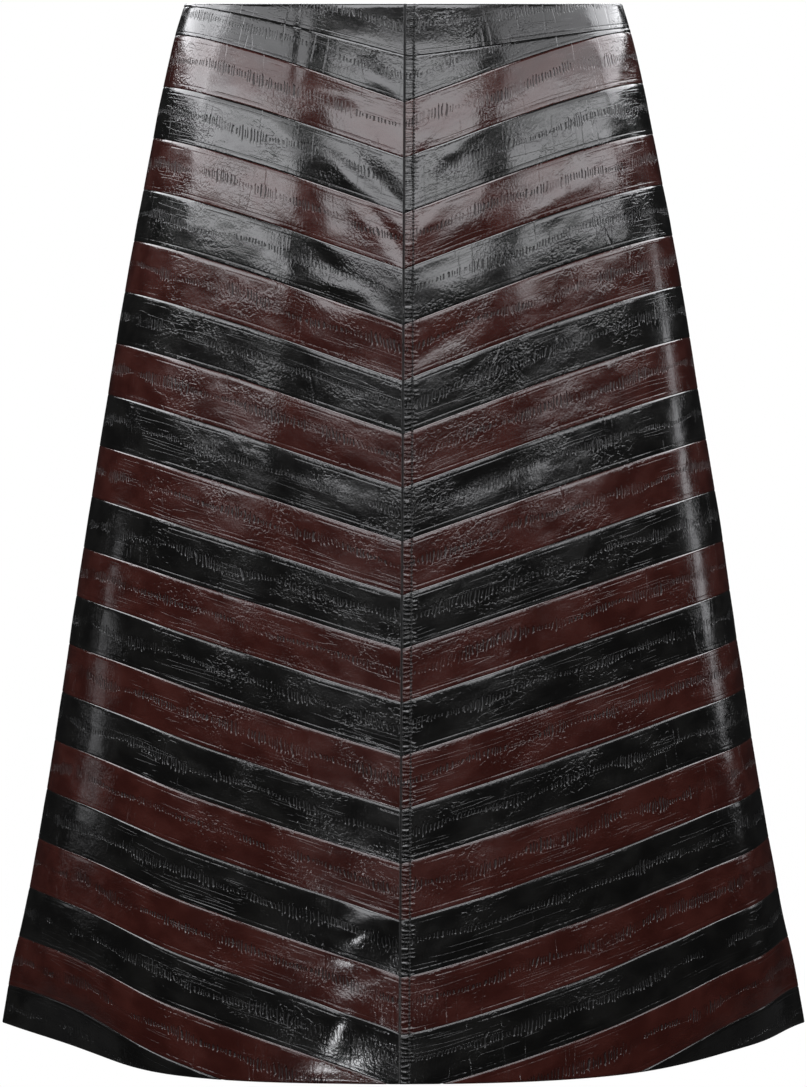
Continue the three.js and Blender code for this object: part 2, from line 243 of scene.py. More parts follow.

# %% [markdown]
# ## Creases placed one by one
# Glossy leather shows its shape by what it mirrors, so even a dent of half a millimetre is seen. The
# creases of a real skirt aren't even: they are read off the garment one by one. Each row is a soft trough
# (or a ridge, where its depth is negative) on one panel: how far it lies from the centre seam along the
# leather and below the waist, how it slants, how long and wide it is, and how deep.

# %% The creases
CREASES = {
    "front_left": [
        (0.068, 0.018, 84, 0.056, 0.006, 0.0007),
        (0.044, 0.057, -16, 0.045, 0.011, 0.0010),
        (0.016, 0.048, -40, 0.034, 0.012, -0.0008),
        (0.025, 0.076, -70, 0.020, 0.007, 0.0006),
        (0.058, 0.094, -30, 0.050, 0.014, -0.0008),
        (0.013, 0.117, -50, 0.044, 0.012, 0.0012),
        (0.031, 0.115, -46, 0.038, 0.012, -0.0010),
        (0.011, 0.146, -54, 0.044, 0.011, 0.0013),
        (0.022, 0.139, -50, 0.038, 0.011, -0.0010),
        (0.039, 0.181, -20, 0.034, 0.009, -0.0009),
        (0.038, 0.190, -15, 0.028, 0.008, 0.0009),
        (0.019, 0.196, -25, 0.030, 0.010, -0.0009),
        (0.060, 0.160, -36, 0.060, 0.016, 0.0009),
        (0.095, 0.100, -70, 0.090, 0.030, 0.0008),
        (0.110, 0.240, 80, 0.160, 0.040, 0.0012),
        (0.150, 0.330, 84, 0.200, 0.050, -0.0012),
        (0.040, 0.300, -15, 0.070, 0.020, 0.0007),
        (0.075, 0.400, 76, 0.150, 0.034, 0.0010),
        (0.025, 0.588, 30, 0.050, 0.026, -0.0024),
        (0.036, 0.640, 60, 0.060, 0.030, -0.0026),
        (0.020, 0.615, 20, 0.050, 0.020, 0.0012),
        (0.120, 0.560, 82, 0.160, 0.040, 0.0012),
    ],
    "front_right": [
        (0.012, 0.102, -60, 0.034, 0.012, 0.0010),
        (0.030, 0.092, -35, 0.050, 0.014, -0.0008),
        (0.015, 0.140, -58, 0.034, 0.012, -0.0009),
        (0.060, 0.060, -20, 0.070, 0.014, -0.0007),
        (0.045, 0.155, -28, 0.080, 0.020, 0.0010),
        (0.090, 0.130, -24, 0.070, 0.018, -0.0008),
        (0.025, 0.215, -32, 0.050, 0.014, 0.0008),
        (0.100, 0.225, -78, 0.140, 0.036, 0.0011),
        (0.060, 0.300, -20, 0.080, 0.020, 0.0007),
        (0.140, 0.330, -82, 0.180, 0.044, -0.0011),
        (0.050, 0.410, -70, 0.120, 0.030, 0.0009),
        (0.110, 0.480, -80, 0.180, 0.036, 0.0010),
        (0.060, 0.560, -64, 0.120, 0.034, -0.0012),
        (0.170, 0.600, -84, 0.130, 0.036, 0.0014),
    ],
    "back_left": [
        (0.030, 0.050, -42, 0.050, 0.014, 0.0010),
        (0.055, 0.110, -28, 0.080, 0.018, 0.0012),
        (0.024, 0.150, -36, 0.050, 0.014, -0.0009),
        (0.075, 0.185, -30, 0.090, 0.020, 0.0010),
        (0.105, 0.260, 76, 0.150, 0.036, 0.0012),
        (0.150, 0.350, 84, 0.190, 0.046, -0.0011),
        (0.060, 0.430, 70, 0.130, 0.032, 0.0010),
        (0.040, 0.590, 48, 0.070, 0.030, -0.0018),
        (0.130, 0.580, 80, 0.150, 0.040, 0.0013),
    ],
    "back_right": [
        (0.026, 0.060, -38, 0.050, 0.014, 0.0010),
        (0.050, 0.125, -30, 0.075, 0.018, 0.0011),
        (0.085, 0.160, -24, 0.080, 0.018, -0.0008),
        (0.030, 0.205, -34, 0.050, 0.014, 0.0009),
        (0.095, 0.270, -78, 0.150, 0.034, 0.0012),
        (0.145, 0.370, -83, 0.180, 0.044, -0.0011),
        (0.055, 0.470, -68, 0.130, 0.030, 0.0010),
        (0.115, 0.590, -80, 0.150, 0.040, 0.0012),
    ],
}


def creases_in(panel, away, drop):
    """How far the creases of a panel lie in, at these distances from its centre seam and these drops."""
    deep = np.zeros_like(drop)
    for at, crease_drop, slant, long, wide, depth in CREASES[panel]:
        lean = math.radians(slant)
        along = (away - at) * math.cos(lean) + (drop - crease_drop) * math.sin(lean)
        across = (drop - crease_drop) * math.cos(lean) - (away - at) * math.sin(lean)
        deep += depth * np.exp(-((2 * along / long) ** 2) - (2 * across / wide) ** 2)
    return deep


print(sum(len(rows) for rows in CREASES.values()), "creases")

# %% [markdown]
# The hide itself is never quite flat either. A gentle noise, read at the place in space, runs on across
# the seams, as the unevenness of cloth over a form does.

# %% The unevenness of the hide
UNEVEN = ((0.075, 0.00055), (0.030, 0.00022), (0.013, 0.00007))


def uneven_out(points):
    """A gentle noise at these points: each wavelength in UNEVEN has its own height."""
    out = np.zeros(len(points))
    for wavelength, height in UNEVEN:
        out += height * np.array([noise.noise(Vector(p / wavelength)) for p in points])
    return out


# %% [markdown]
# ## Edges and seams
# A strip of leather rolls in where it is sewn: the seam pulls its edge down, and the light catches the
# round shoulder beside it. Inside, the seam allowance lies pressed open, so the wall is thicker there. The
# waist and the hem are turned over a tape, which gives them a full, round edge.

# %% The roll of an edge
WALL = 0.0013
ROLL = {"depth": 0.00035, "width": 0.0006}
SHOULDER = {"depth": 0.00036, "width": 0.0013}
TURNED_ROLL = {"depth": 0.0011, "width": 0.0012}
ALLOWANCE = {"width": 0.009, "thick": 0.0006, "fade": 0.0015}
PILLOW = 0.00008
CALM_EDGE = {"reach": 0.02, "least": 0.35}
THINNEST_WALL = 0.0007


def roll_in(away, roll):
    """A quarter round at an edge: how far the face lies in at a distance from it."""
    off = 1 - np.clip(away / roll["width"], 0, 1)
    return roll["depth"] * (1 - np.sqrt(1 - off * off))


def shoulder_in(away):
    """The bent shoulder of a strip's upper edge: it tips over evenly, so it mirrors one bright line."""
    off = 1 - np.clip(away / SHOULDER["width"], 0, 1)
    return SHOULDER["depth"] * off * off


def allowance_at(away):
    """How much thicker the wall is at a distance from a seam."""
    gone = np.clip((away - ALLOWANCE["width"]) / ALLOWANCE["fade"], 0, 1)
    return ALLOWANCE["thick"] * (1 - gone * gone * (3 - 2 * gone))


# %% [markdown]
# ## The centre front seam
# It is lapped: both allowances are pressed to one side and topstitched six millimetres from the edge. The
# lapped side stands a little proud, the stitching pulls a shallow channel into it, and short puckers run
# from the stitches to the seam.

# %% The lapped side
LAP = {"height": 0.0005, "fade": 0.0015, "stitch_away": 0.006, "channel": 0.0004, "channel_width": 0.001}
PUCKER = {"pitch": 0.0057, "height": 0.00012, "start": 0.001, "reach": 0.0068}
PUCKER_WANDER = ((61, 1.0, 0), (143, 0.6, 1))


def lap_out(away, drop):
    """How far the lapped side of the centre front seam stands out."""
    from_stitch = away - LAP["stitch_away"]
    raised = LAP["height"] * (1 - np.clip(from_stitch / LAP["fade"], 0, 1))
    channel = LAP["channel"] * np.exp(-((from_stitch / LAP["channel_width"]) ** 2))
    drawn = np.clip(1 - away / PUCKER["reach"], 0, 1) * np.clip(away / PUCKER["start"], 0, 1)
    uneven = sum(size * np.sin(drop * turns + shift) for turns, size, shift in PUCKER_WANDER)
    return raised - channel + PUCKER["height"] * drawn * np.sin(drop * math.tau / PUCKER["pitch"] + uneven)


# %% [markdown]
# ## Laying a strip on the form
# This is the one function that turns the flat leather into the worn skirt. It takes places on a panel and
# says where each lies in space, sunk into the wall by as much as its face asks for.

# %% A strip's place in space
SIDE_BLEND = 0.006
FRONT_SEAM = {"top": 0.0010, "hem": -0.0025}


def front_seam_at(drop):
    """How far right of the middle the centre front seam runs at these drops: it leans a little."""
    return FRONT_SEAM["top"] + (FRONT_SEAM["hem"] - FRONT_SEAM["top"]) * drop / LENGTH


def lay(side, half, share, drop, sunk):
    """Points of the wall at these shares and drops, each sunk by this much into it."""
    point, way, length = on_quarter(side, share, drop)
    near_side = np.clip(1 - (1 - share) * length / SIDE_BLEND, 0, 1)
    near_side = near_side * near_side * (3 - 2 * near_side)
    way = way * (1 - near_side) + np.array([[0.0], [-1.0]]) * near_side
    way = way / np.linalg.norm(way, axis=0)
    turn = share if side == "front" else 2 - share
    out = folds_out(half, turn, drop) - sunk
    sideways = np.maximum(point[0] - way[1] * out, SEAM_GAP / 2)
    depth = point[1] + way[0] * out
    facing = -1 if side == "front" else 1
    leant = front_seam_at(drop) * (1 - share) ** 2 if side == "front" else 0
    return np.stack([half * sideways + leant, facing * depth, -drop], axis=1)


# %% [markdown]
# ## One strip
# A strip starts as a flat grid from `create_grid`, is given its thickness by `solidify` while it is still
# flat, and is then wrapped point by point. The grid is finer beside the seams, where the edge rolls in,
# and coarser in the middle. Its UV map keeps the flat leather: the first number runs along the strip in
# metres and the second from its upper to its lower edge, as the skin was before the waist or the hem cut
# into it. The skin's own pattern is drawn there, so that it follows the strip.

# %% The grid of a strip
EDGE_ROWS = np.array([0, 0.00008, 0.00025, 0.0006, 0.0012, 0.0032])
CENTRE_COLUMNS = np.array([0, 0.00008, 0.00025, 0.0006, 0.0013, 0.0024, 0.0036, 0.0047, 0.0054, 0.006,
                           0.0066, 0.0074, 0.0088])
SIDE_COLUMNS = np.array([0, 0.00008, 0.00025, 0.0006, 0.0012, 0.003])
MIDDLE_ROWS = 7
COLUMN_STEP = 0.0026
LEAST_COLUMNS = 4
NARROW = 0.012
TIP = 0.0005


def strip_places(side, half, number):
    """The share and drop of a strip's grid places, in columns from the centre and rows from the top."""
    start = 0.0 if number == 1 else hem_share(half, number - 1, TIP)
    middle_drop = min(float(seam_drop(half, number - 0.5, np.array([0.5]))[0]), LENGTH)
    long = float(quarter_length(side, max(middle_drop, 0.0))[0])
    run = (1 - start) * long
    spread = np.linspace(0, 1, max(int(run / COLUMN_STEP), LEAST_COLUMNS))[1:-1]
    between = CENTRE_COLUMNS[-1] + (run - CENTRE_COLUMNS[-1] - SIDE_COLUMNS[-1]) * spread
    share = start + np.concatenate([CENTRE_COLUMNS, between, run - SIDE_COLUMNS[::-1]]) / long
    upper = np.zeros_like(share) if number == 1 else seam_drop(half, number - 1, share) + SEAM_GAP / 2
    lower = np.minimum(seam_drop(half, number, share) - SEAM_GAP / 2, LENGTH)
    shrink = np.clip((lower - upper) / NARROW, 0, 1)
    top, low = upper + EDGE_ROWS[-1] * shrink, lower - EDGE_ROWS[-1] * shrink
    steps = np.arange(1, MIDDLE_ROWS + 1)[:, None]
    drops = np.concatenate([
        upper + EDGE_ROWS[:, None] * shrink,
        top + (low - top) * steps / (MIDDLE_ROWS + 1),
        lower - EDGE_ROWS[::-1, None] * shrink,
    ])
    return np.broadcast_to(share, drops.shape), drops, upper, lower


# %% [markdown]
# `strip_shape` says how deep each place of the grid lies under the smooth wall: the roll of its edges, the
# pillow of the leather between two seams, the creases and the lap. The inner face follows the outer one,
# except at the edges, where it has the allowance instead of the roll.

# %% The shape of a strip
FLATTEST = 1e-5
FULL_PILLOW = 0.03


def half_name(half):
    """What a half of the skirt is called, seen from the front."""
    return "left" if half < 0 else "right"


def relief(side, half, share, drop):
    """How far the hide lies in at its places for its creases, its unevenness and the lap."""
    panel = f"{side}_{half_name(half)}"
    away = share * quarter_length(side, drop)
    deep = creases_in(panel, away, drop) - uneven_out(lay(side, half, share, drop, 0))
    if panel == "front_right":
        deep = deep - lap_out(away, drop)
    return deep * np.clip(np.minimum(drop, LENGTH - drop) / CALM_EDGE["reach"], CALM_EDGE["least"], 1)


def strip_shape(side, half, number, share, drop, upper, lower):
    """How far the outer and the inner face of a strip are sunk at each of its places."""
    length = quarter_length(side, drop)
    centre, flank = share * length, (1 - share) * length
    at_waist, at_hem = number == 1, lower >= LENGTH
    over, under = drop - upper, lower - drop
    outer = roll_in(over, TURNED_ROLL) if at_waist else shoulder_in(over)
    outer = outer + np.where(at_hem, roll_in(under, TURNED_ROLL), roll_in(under, ROLL))
    outer = outer + roll_in(centre, ROLL) + roll_in(flank, ROLL)
    inner = WALL + allowance_at(np.minimum(np.minimum(over, under), np.minimum(centre, flank)))
    if at_waist:
        inner = inner - roll_in(over, TURNED_ROLL)
    inner = inner - np.where(at_hem, roll_in(under, TURNED_ROLL), 0)
    high = np.maximum(lower - upper, FLATTEST)
    middle = 4 * over * under / (high * high)
    bulge = PILLOW * np.clip(middle, 0, 1) * np.clip(high / FULL_PILLOW, 0, 1)
    deep = relief(side, half, share, drop) - bulge
    return outer + deep, np.maximum(inner + deep, outer + deep + THINNEST_WALL)


# %% [markdown]
# Every piece is closed in the same way: its bmesh becomes a mesh, its points move to their places on the
# form and it gets its finishes. Then it hangs on the body that carries it, and the solids it stands for
# are hidden.

# %% Helpers for pieces
def flat_sheet(columns, rows):
    """A flat grid of two faces, one unit wide, long and thick."""
    bm = bmesh.new()
    bmesh.ops.create_grid(bm, x_segments=columns, y_segments=rows, size=0.5)
    bmesh.ops.solidify(bm, geom=bm.faces[:], thickness=1)
    return bm


def flat_places(bm):
    """The points of a bmesh as an array."""
    return np.array([vert.co[:] for vert in bm.verts])


def finished(name, bm, finishes, places=None):
    """Closes a bmesh into an object of this name, its points moved to the places if there are any."""
    mesh = bpy.data.meshes.new(name)
    bm.to_mesh(mesh)
    bm.free()
    if places is not None:
        mesh.vertices.foreach_set("co", places.astype(np.float32).ravel())
    for finish in finishes:
        mesh.materials.append(finish)
    mesh.polygons.foreach_set("use_smooth", np.ones(len(mesh.polygons), bool))
    mesh.update()
    piece = bpy.data.objects.new(name, mesh)
    bpy.context.scene.collection.objects.link(piece)
    return piece


def corner_points(mesh):
    """The vertex at each corner of the faces."""
    corners = np.empty(len(mesh.loops), int)
    mesh.loops.foreach_get("vertex_index", corners)
    return corners


def add_flat_map(mesh, name, places):
    """A UV map that keeps where each vertex was on the flat piece."""
    flat_map = mesh.uv_layers.new(name=name)
    flat_map.data.foreach_set("uv", places[corner_points(mesh)].astype(np.float32).ravel())


def carry(piece, body, slot, *nodes):
    """Hangs a piece on the body that carries it and hides the solids it stands for. The slot is not used.
    """
    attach(piece, body)
    if nodes:
        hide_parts(*nodes)


# %% [markdown]
# The two faces and the UV maps come together here. A strip has two materials: the glossy skin outside and
# the matt backing inside.

# %% Make a strip
SKIN_WIDTH = 0.033
LEAST_SKIN = 0.026
STRIP_SHIFT = 0.37
PANELS = ("front_left", "front_right", "back_left", "back_right")
FACE_CORNERS = 4


def make_strip(side, half, number, skin, backing):
    """One strip of leather as its own object, sewn to nothing but laid where it belongs."""
    share, drop, upper, lower = strip_places(side, half, number)
    rows, columns = drop.shape
    bm = flat_sheet(columns - 1, rows - 1)
    flat = flat_places(bm)
    column = np.rint((flat[:, 0] + 0.5) * (columns - 1)).astype(int)
    if (half < 0) == (side == "front"):
        column = columns - 1 - column
    row = np.rint((0.5 - flat[:, 1]) * (rows - 1)).astype(int)
    place = row * columns + column
    share, drop = share.ravel(), drop.ravel()
    ends = np.tile(upper, rows), np.tile(lower, rows)
    outer, inner = strip_shape(side, half, number, share, drop, *ends)
    share, drop = share[place], drop[place]
    is_inner = flat[:, 2] < -0.5
    points = lay(side, half, share, drop, np.where(is_inner, inner[place], outer[place]))
    strip = finished(f"{side}_{half_name(half)}_strip_{number:02d}", bm, [skin, backing], points)
    add_skin_maps(strip.data, side, half, number, share, drop)
    inside = is_inner[corner_points(strip.data)].reshape(-1, FACE_CORNERS).sum(axis=1)
    strip.data.polygons.foreach_set("material_index", (inside > FACE_CORNERS / 2).astype(np.int32))
    strip.data.update()
    return strip


def add_skin_maps(mesh, side, half, number, share, drop):
    """The flat skin's two UV maps: metres along and the share of its width, or metres both ways."""
    length = float(quarter_length(side, float(np.clip(drop.mean(), 0, LENGTH)))[0])
    lower = seam_drop(half, number, share)
    upper = np.minimum(seam_drop(half, number - 1, share), lower - LEAST_SKIN)
    skin_number = number * len(PANELS) + PANELS.index(f"{side}_{half_name(half)}")
    along = share * length + skin_number * STRIP_SHIFT
    across = (drop - upper) / (lower - upper)
    for map_name, sideways in (("skin", across), ("cut", across * SKIN_WIDTH)):
        add_flat_map(mesh, map_name, np.stack([along, sideways], axis=1))


# %% [markdown]
# ## Finishes
# A finish is a set of nodes. A few small helpers keep the node code short: they place a node and fill its
# inputs, do sums on its results, and start an empty material or an empty group.

# %% Helpers for nodes
def fill(tree, made, inputs):
    """Fills the inputs of a node: a socket is linked, and a value is set."""
    for key, value in dict(inputs).items():
        if isinstance(value, bpy.types.NodeSocket):
            tree.links.new(value, made.inputs[key])
        else:
            made.inputs[key].default_value = value


def node(tree, kind, inputs=(), **settings):
    """A node of this kind with its settings, its inputs filled or linked."""
    made = tree.nodes.new(kind)
    for name, value in settings.items():
        setattr(made, name, value)
    fill(tree, made, inputs)
    return made


def maths(tree, operation, *values):
    """The result of a Math node on these values or sockets."""
    return node(tree, "ShaderNodeMath", dict(enumerate(values)), operation=operation).outputs[0]


def product(tree, first, *others):
    """The product of these values or sockets."""
    for other in others:
        first = maths(tree, "MULTIPLY", first, other)
    return first


def span(tree, value, low, high, to_low=0.0, to_high=1.0):
    """A value mapped smoothly from one span to another."""
    inputs = {"Value": value, "From Min": low, "From Max": high, "To Min": to_low, "To Max": to_high}
    return node(tree, "ShaderNodeMapRange", inputs, interpolation_type="SMOOTHSTEP").outputs["Result"]


def blended(tree, share, first, second):
    """A mix of two colours, each a value or a socket, by a share."""
    return node(tree, "ShaderNodeMix", {0: share, 6: first, 7: second}, data_type="RGBA").outputs[2]


def new_finish(name):
    """A new material, its tree and its shader."""
    material = bpy.data.materials.new(name)
    material.use_nodes = True
    return material, material.node_tree, material.node_tree.nodes["Principled BSDF"]


def new_group(name, inputs, outputs):
    """An empty group. An input without a value is a vector, and all other sockets are numbers."""
    tree = bpy.data.node_groups.new(name, "ShaderNodeTree")
    for label, value in inputs.items():
        kind = "NodeSocketVector" if value is None else "NodeSocketFloat"
        socket = tree.interface.new_socket(name=label, in_out="INPUT", socket_type=kind)
        if value is not None:
            socket.default_value = value
    for label in outputs:
        tree.interface.new_socket(name=label, in_out="OUTPUT", socket_type="NodeSocketFloat")
    return tree, tree.nodes.new("NodeGroupInput"), tree.nodes.new("NodeGroupOutput")


# %% [markdown]
# ### The skin of an eel
# Along the middle of each skin runs a comb of short, fine wrinkles across it, where the back fin was. They
# come in uneven clusters, lean a little and wander off the middle. Thin lines run along the skin near its
# edges, a few long wrinkles cross it, faint creases run along it, and patches of it are crinkled. The group
# works on the strip's own UV map and gives a height in millimetres and a mask of the wrinkles. Each mark is
# made from a noise, and a table holds them: how fine a noise is along and across the skin, in features to a
# metre, its detail and its offset.

# %% The eel skin group
SKIN_NOISES = {
    "wander": (20, 0, 0.0, 0.0),
    "reach": (34, 0, 1.0, 5.0),
    "tick_reach": (430, 0, 0.0, 7.0),
    "cluster": (52, 0, 1.0, 9.0),
    "jitter": (170, 0, 0.0, 3.0),
    "bend": (90, 110, 1.0, 11.0),
    "low_line": (30, 0, 1.0, 15.0),
    "high_line": (26, 0, 1.0, 21.0),
    "across": (95, 9, 1.0, 13.0),
    "across_where": (40, 28, 1.0, 17.0),
    "creases": (14, 230, 1.0, 31.0),
    "creases_where": (18, 60, 0.0, 37.0),
    "crinkles": (120, 170, 2.0, 43.0),
    "crinkles_where": (24, 40, 1.0, 47.0),
    "pebbles": (680, 440, 1.0, 53.0),
    "soft": (52, 78, 1.0, 59.0),
    "mottle": (34, 52, 2.0, 67.0),
}
# From where to where a noise counts, and what it counts for there if that isn't 0 to 1
SKIN_MASKS = {
    "reach": (0.36, 0.68, 0.045, 0.125),
    "tick_reach": (0.3, 0.7, 0.6, 1.35),
    "cluster": (0.32, 0.52, 0.25, 1.0),
    "low_line": (0.42, 0.6),
    "high_line": (0.3, 0.5, 0.25, 1.0),
    "across_where": (0.52, 0.66),
    "creases_where": (0.5, 0.62),
    "crinkles_where": (0.46, 0.66, 0.12, 1.0),
}
SKIN_RIDGES = {"across": 0.035, "creases": 0.03, "crinkles": 0.08}
SKIN_LINES = {"low_line": 0.1, "high_line": 0.91}
LINE_WIDTH = 0.014
E = 2.718
COMB = {"pitch": 0.0023, "jitter": 9.0, "bend": 5.0, "lean": 0.03, "middle": 0.46, "wander": 0.2,
        "full": 0.55, "ticks": (-0.1, 0.95)}
PEBBLES_OUTSIDE = 0.4
SKIN_HEIGHTS = {"comb": -0.5, "low_line": -0.09, "high_line": -0.1, "across": -0.16, "creases": -0.035,
                "crinkles": -0.056, "pebbles": 0.14, "soft": 0.32}
NOISE_ROUGHNESS = 0.55
NOISE_SLANT = 0.7


def cloud(tree, place, scale_along, scale_across, detail, offset):
    """A soft noise on the flat skin, stretched by its two scales."""
    inputs = {0: place, 1: (scale_along, scale_across, 0.0), 2: (offset, offset * NOISE_SLANT, 0.0)}
    stretched = node(tree, "ShaderNodeVectorMath", inputs, operation="MULTIPLY_ADD").outputs[0]
    noise_inputs = {"Vector": stretched, "Scale": 1.0, "Detail": detail, "Roughness": NOISE_ROUGHNESS}
    return node(tree, "ShaderNodeTexNoise", noise_inputs, noise_dimensions="2D").outputs["Fac"]


def comb_of_wrinkles(tree, along, across, share, soft, mask):
    """The comb's mask: it wanders about the middle, comes in clusters and leans."""
    wander = product(tree, maths(tree, "SUBTRACT", soft("wander"), 0.5), COMB["wander"])
    off = maths(tree, "SUBTRACT", maths(tree, "SUBTRACT", share, COMB["middle"]), wander)
    reach = product(tree, mask("reach"), mask("tick_reach"))
    inside = span(tree, maths(tree, "DIVIDE", maths(tree, "ABSOLUTE", off), reach), 1.0, COMB["full"])
    lean = product(tree, across, math.tau / COMB["lean"])
    phase = maths(tree, "ADD", product(tree, along, math.tau / COMB["pitch"]), lean)
    jitter, bend = (product(tree, soft(name), COMB[name]) for name in ("jitter", "bend"))
    phase = maths(tree, "ADD", phase, maths(tree, "ADD", jitter, bend))
    ticks = span(tree, maths(tree, "SINE", phase), *COMB["ticks"])
    return product(tree, ticks, inside, mask("cluster"))


def eel_skin_group():
    """Builds the group: UV in, height in millimetres and the wrinkles' mask out."""
    outputs = ("Height", "Wrinkled", "Mottle")
    tree, given, result = new_group("eel_skin", {"UV": None, "Wrinkles": 1.0}, outputs)
    parts = node(tree, "ShaderNodeSeparateXYZ", {0: given.outputs["UV"]})
    along, share = parts.outputs[0], parts.outputs[1]
    across = product(tree, share, SKIN_WIDTH)
    place = node(tree, "ShaderNodeCombineXYZ", {0: along, 1: across}).outputs[0]

    def soft(name):
        return cloud(tree, place, *SKIN_NOISES[name])

    def mask(name):
        return span(tree, soft(name), *SKIN_MASKS[name])

    marks = {"comb": comb_of_wrinkles(tree, along, across, share, soft, mask), "soft": soft("soft")}
    where = {name: mask(f"{name}_where") for name in SKIN_RIDGES}
    for name, sharp in SKIN_RIDGES.items():
        off = maths(tree, "ABSOLUTE", maths(tree, "SUBTRACT", soft(name), 0.5))
        marks[name] = product(tree, span(tree, off, sharp, 0.0), where[name])
    for name, middle in SKIN_LINES.items():
        off = maths(tree, "DIVIDE", maths(tree, "SUBTRACT", share, middle), LINE_WIDTH)
        line = maths(tree, "POWER", E, product(tree, off, off, -1.0))
        marks[name] = product(tree, line, mask(name))
    coarse = span(tree, where["crinkles"], 0.0, 1.0, PEBBLES_OUTSIDE, 1.0)
    marks["pebbles"] = product(tree, soft("pebbles"), coarse)
    total = 0.0
    for name, height in SKIN_HEIGHTS.items():
        total = maths(tree, "ADD", product(tree, marks[name], height), total)
    fill(tree, result, {"Height": product(tree, total, given.outputs["Wrinkles"]),
                        "Wrinkled": marks["comb"], "Mottle": soft("mottle")})
    return tree


EEL_SKIN = eel_skin_group()
print("eel skin group has", len(EEL_SKIN.nodes), "nodes")

# %% [markdown]
# ### The centre seams
# The folded edge of a seam is dull, because the glaze breaks there, and painted shade darkens it. In front,
# the topstitching leaves a row of small holes, painted dark as shade, six millimetres to the right of the
# seam, and the leather between them and the seam is drawn into short level puckers. All of it is read off
# the Object coordinates.

# %% The centre seams group
STITCH_PITCH = 0.00225
HOLE = {"middle": 0.00042, "edge": 0.0010}
SEAM_FOLD = {"middle": 0.0005, "edge": 0.0011}
FINE_PUCKER = {"pitch": 0.0031, "jitter": 7.0, "jitter_noise": (150, 150, 0.0, 71.0), "wave": (-0.6, 0.9),
               "reach": (0.3, 0.7, 0.0062, 0.0105), "reach_noise": (90, 120, 0.0, 77.0), "full": 0.6,
               "start": (0.0003, 0.0014), "stretch": 0.5}


def centre_seams_group():
    """Builds the group: Object coordinates in, masks of the holes, the puckers and the seam's fold out."""
    tree, given, result = new_group("centre_seams", {"Place": None}, ("Holes", "Puckers", "Fold"))
    parts = node(tree, "ShaderNodeSeparateXYZ", {0: given.outputs["Place"]})
    side, depth, height = parts.outputs[0], parts.outputs[1], parts.outputs[2]
    in_front = maths(tree, "LESS_THAN", depth, 0.0)
    lean = (FRONT_SEAM["top"] - FRONT_SEAM["hem"]) / LENGTH
    seam_at = product(tree, maths(tree, "MULTIPLY_ADD", height, lean, FRONT_SEAM["top"]), in_front)
    away = maths(tree, "SUBTRACT", side, seam_at)
    off = maths(tree, "SUBTRACT", away, LAP["stitch_away"])
    along = maths(tree, "PINGPONG", height, STITCH_PITCH / 2)
    from_hole = node(tree, "ShaderNodeCombineXYZ", {0: off, 1: along}).outputs[0]
    from_hole = node(tree, "ShaderNodeVectorMath", {0: from_hole}, operation="LENGTH").outputs["Value"]
    # The holes' mask also darkens the leather's colour there as painted shade.
    hole = product(tree, span(tree, from_hole, HOLE["edge"], HOLE["middle"]), in_front)
    stretched = product(tree, away, FINE_PUCKER["stretch"])
    level = node(tree, "ShaderNodeCombineXYZ", {0: stretched, 1: height}).outputs[0]
    jitter = product(tree, cloud(tree, level, *FINE_PUCKER["jitter_noise"]), FINE_PUCKER["jitter"])
    phase = maths(tree, "MULTIPLY_ADD", height, math.tau / FINE_PUCKER["pitch"], jitter)
    wave = span(tree, maths(tree, "SINE", phase), *FINE_PUCKER["wave"])
    reach = span(tree, cloud(tree, level, *FINE_PUCKER["reach_noise"]), *FINE_PUCKER["reach"])
    inside = span(tree, maths(tree, "DIVIDE", away, reach), 1.0, FINE_PUCKER["full"])
    started = span(tree, away, *FINE_PUCKER["start"])
    # The fold's mask dulls the glaze and darkens the leather's colour as painted shade.
    fold = span(tree, maths(tree, "ABSOLUTE", away), SEAM_FOLD["edge"], SEAM_FOLD["middle"])
    pucker = product(tree, wave, inside, started, in_front)
    fill(tree, result, {"Holes": hole, "Puckers": pucker, "Fold": fold})
    return tree


CENTRE_SEAMS = centre_seams_group()
print("centre seams group has", len(CENTRE_SEAMS.nodes), "nodes")

# %% [markdown]
# ### Glossy leather
# The hide is dyed through and finished with a hard glaze: a dark, slightly mottled colour under a smooth
# coat. The wrinkles of the comb, the needle holes and the seams' folds are painted darker as painted shade,
# and the crests are polished. The two colours differ only in their values, so one function makes both.

# %% The leathers
# The painted shade in the wrinkles, the needle holes and the seams' folds keeps a quarter of the deep
# colour.
GLAZE = {"mottle": (0.3, 0.7), "rough_from": (0.3, 0.75), "rougher": 0.07, "coat": 0.3, "dull_rough": 0.6,
         "dull": 0.5, "wrinkle_dull": 0.5, "painted_shade_share": 0.25, "hole": -0.25, "pucker": 0.42}
MILLIMETRE = 0.001
LEATHER_IOR = 1.5
COAT_ROUGHNESS = 0.1


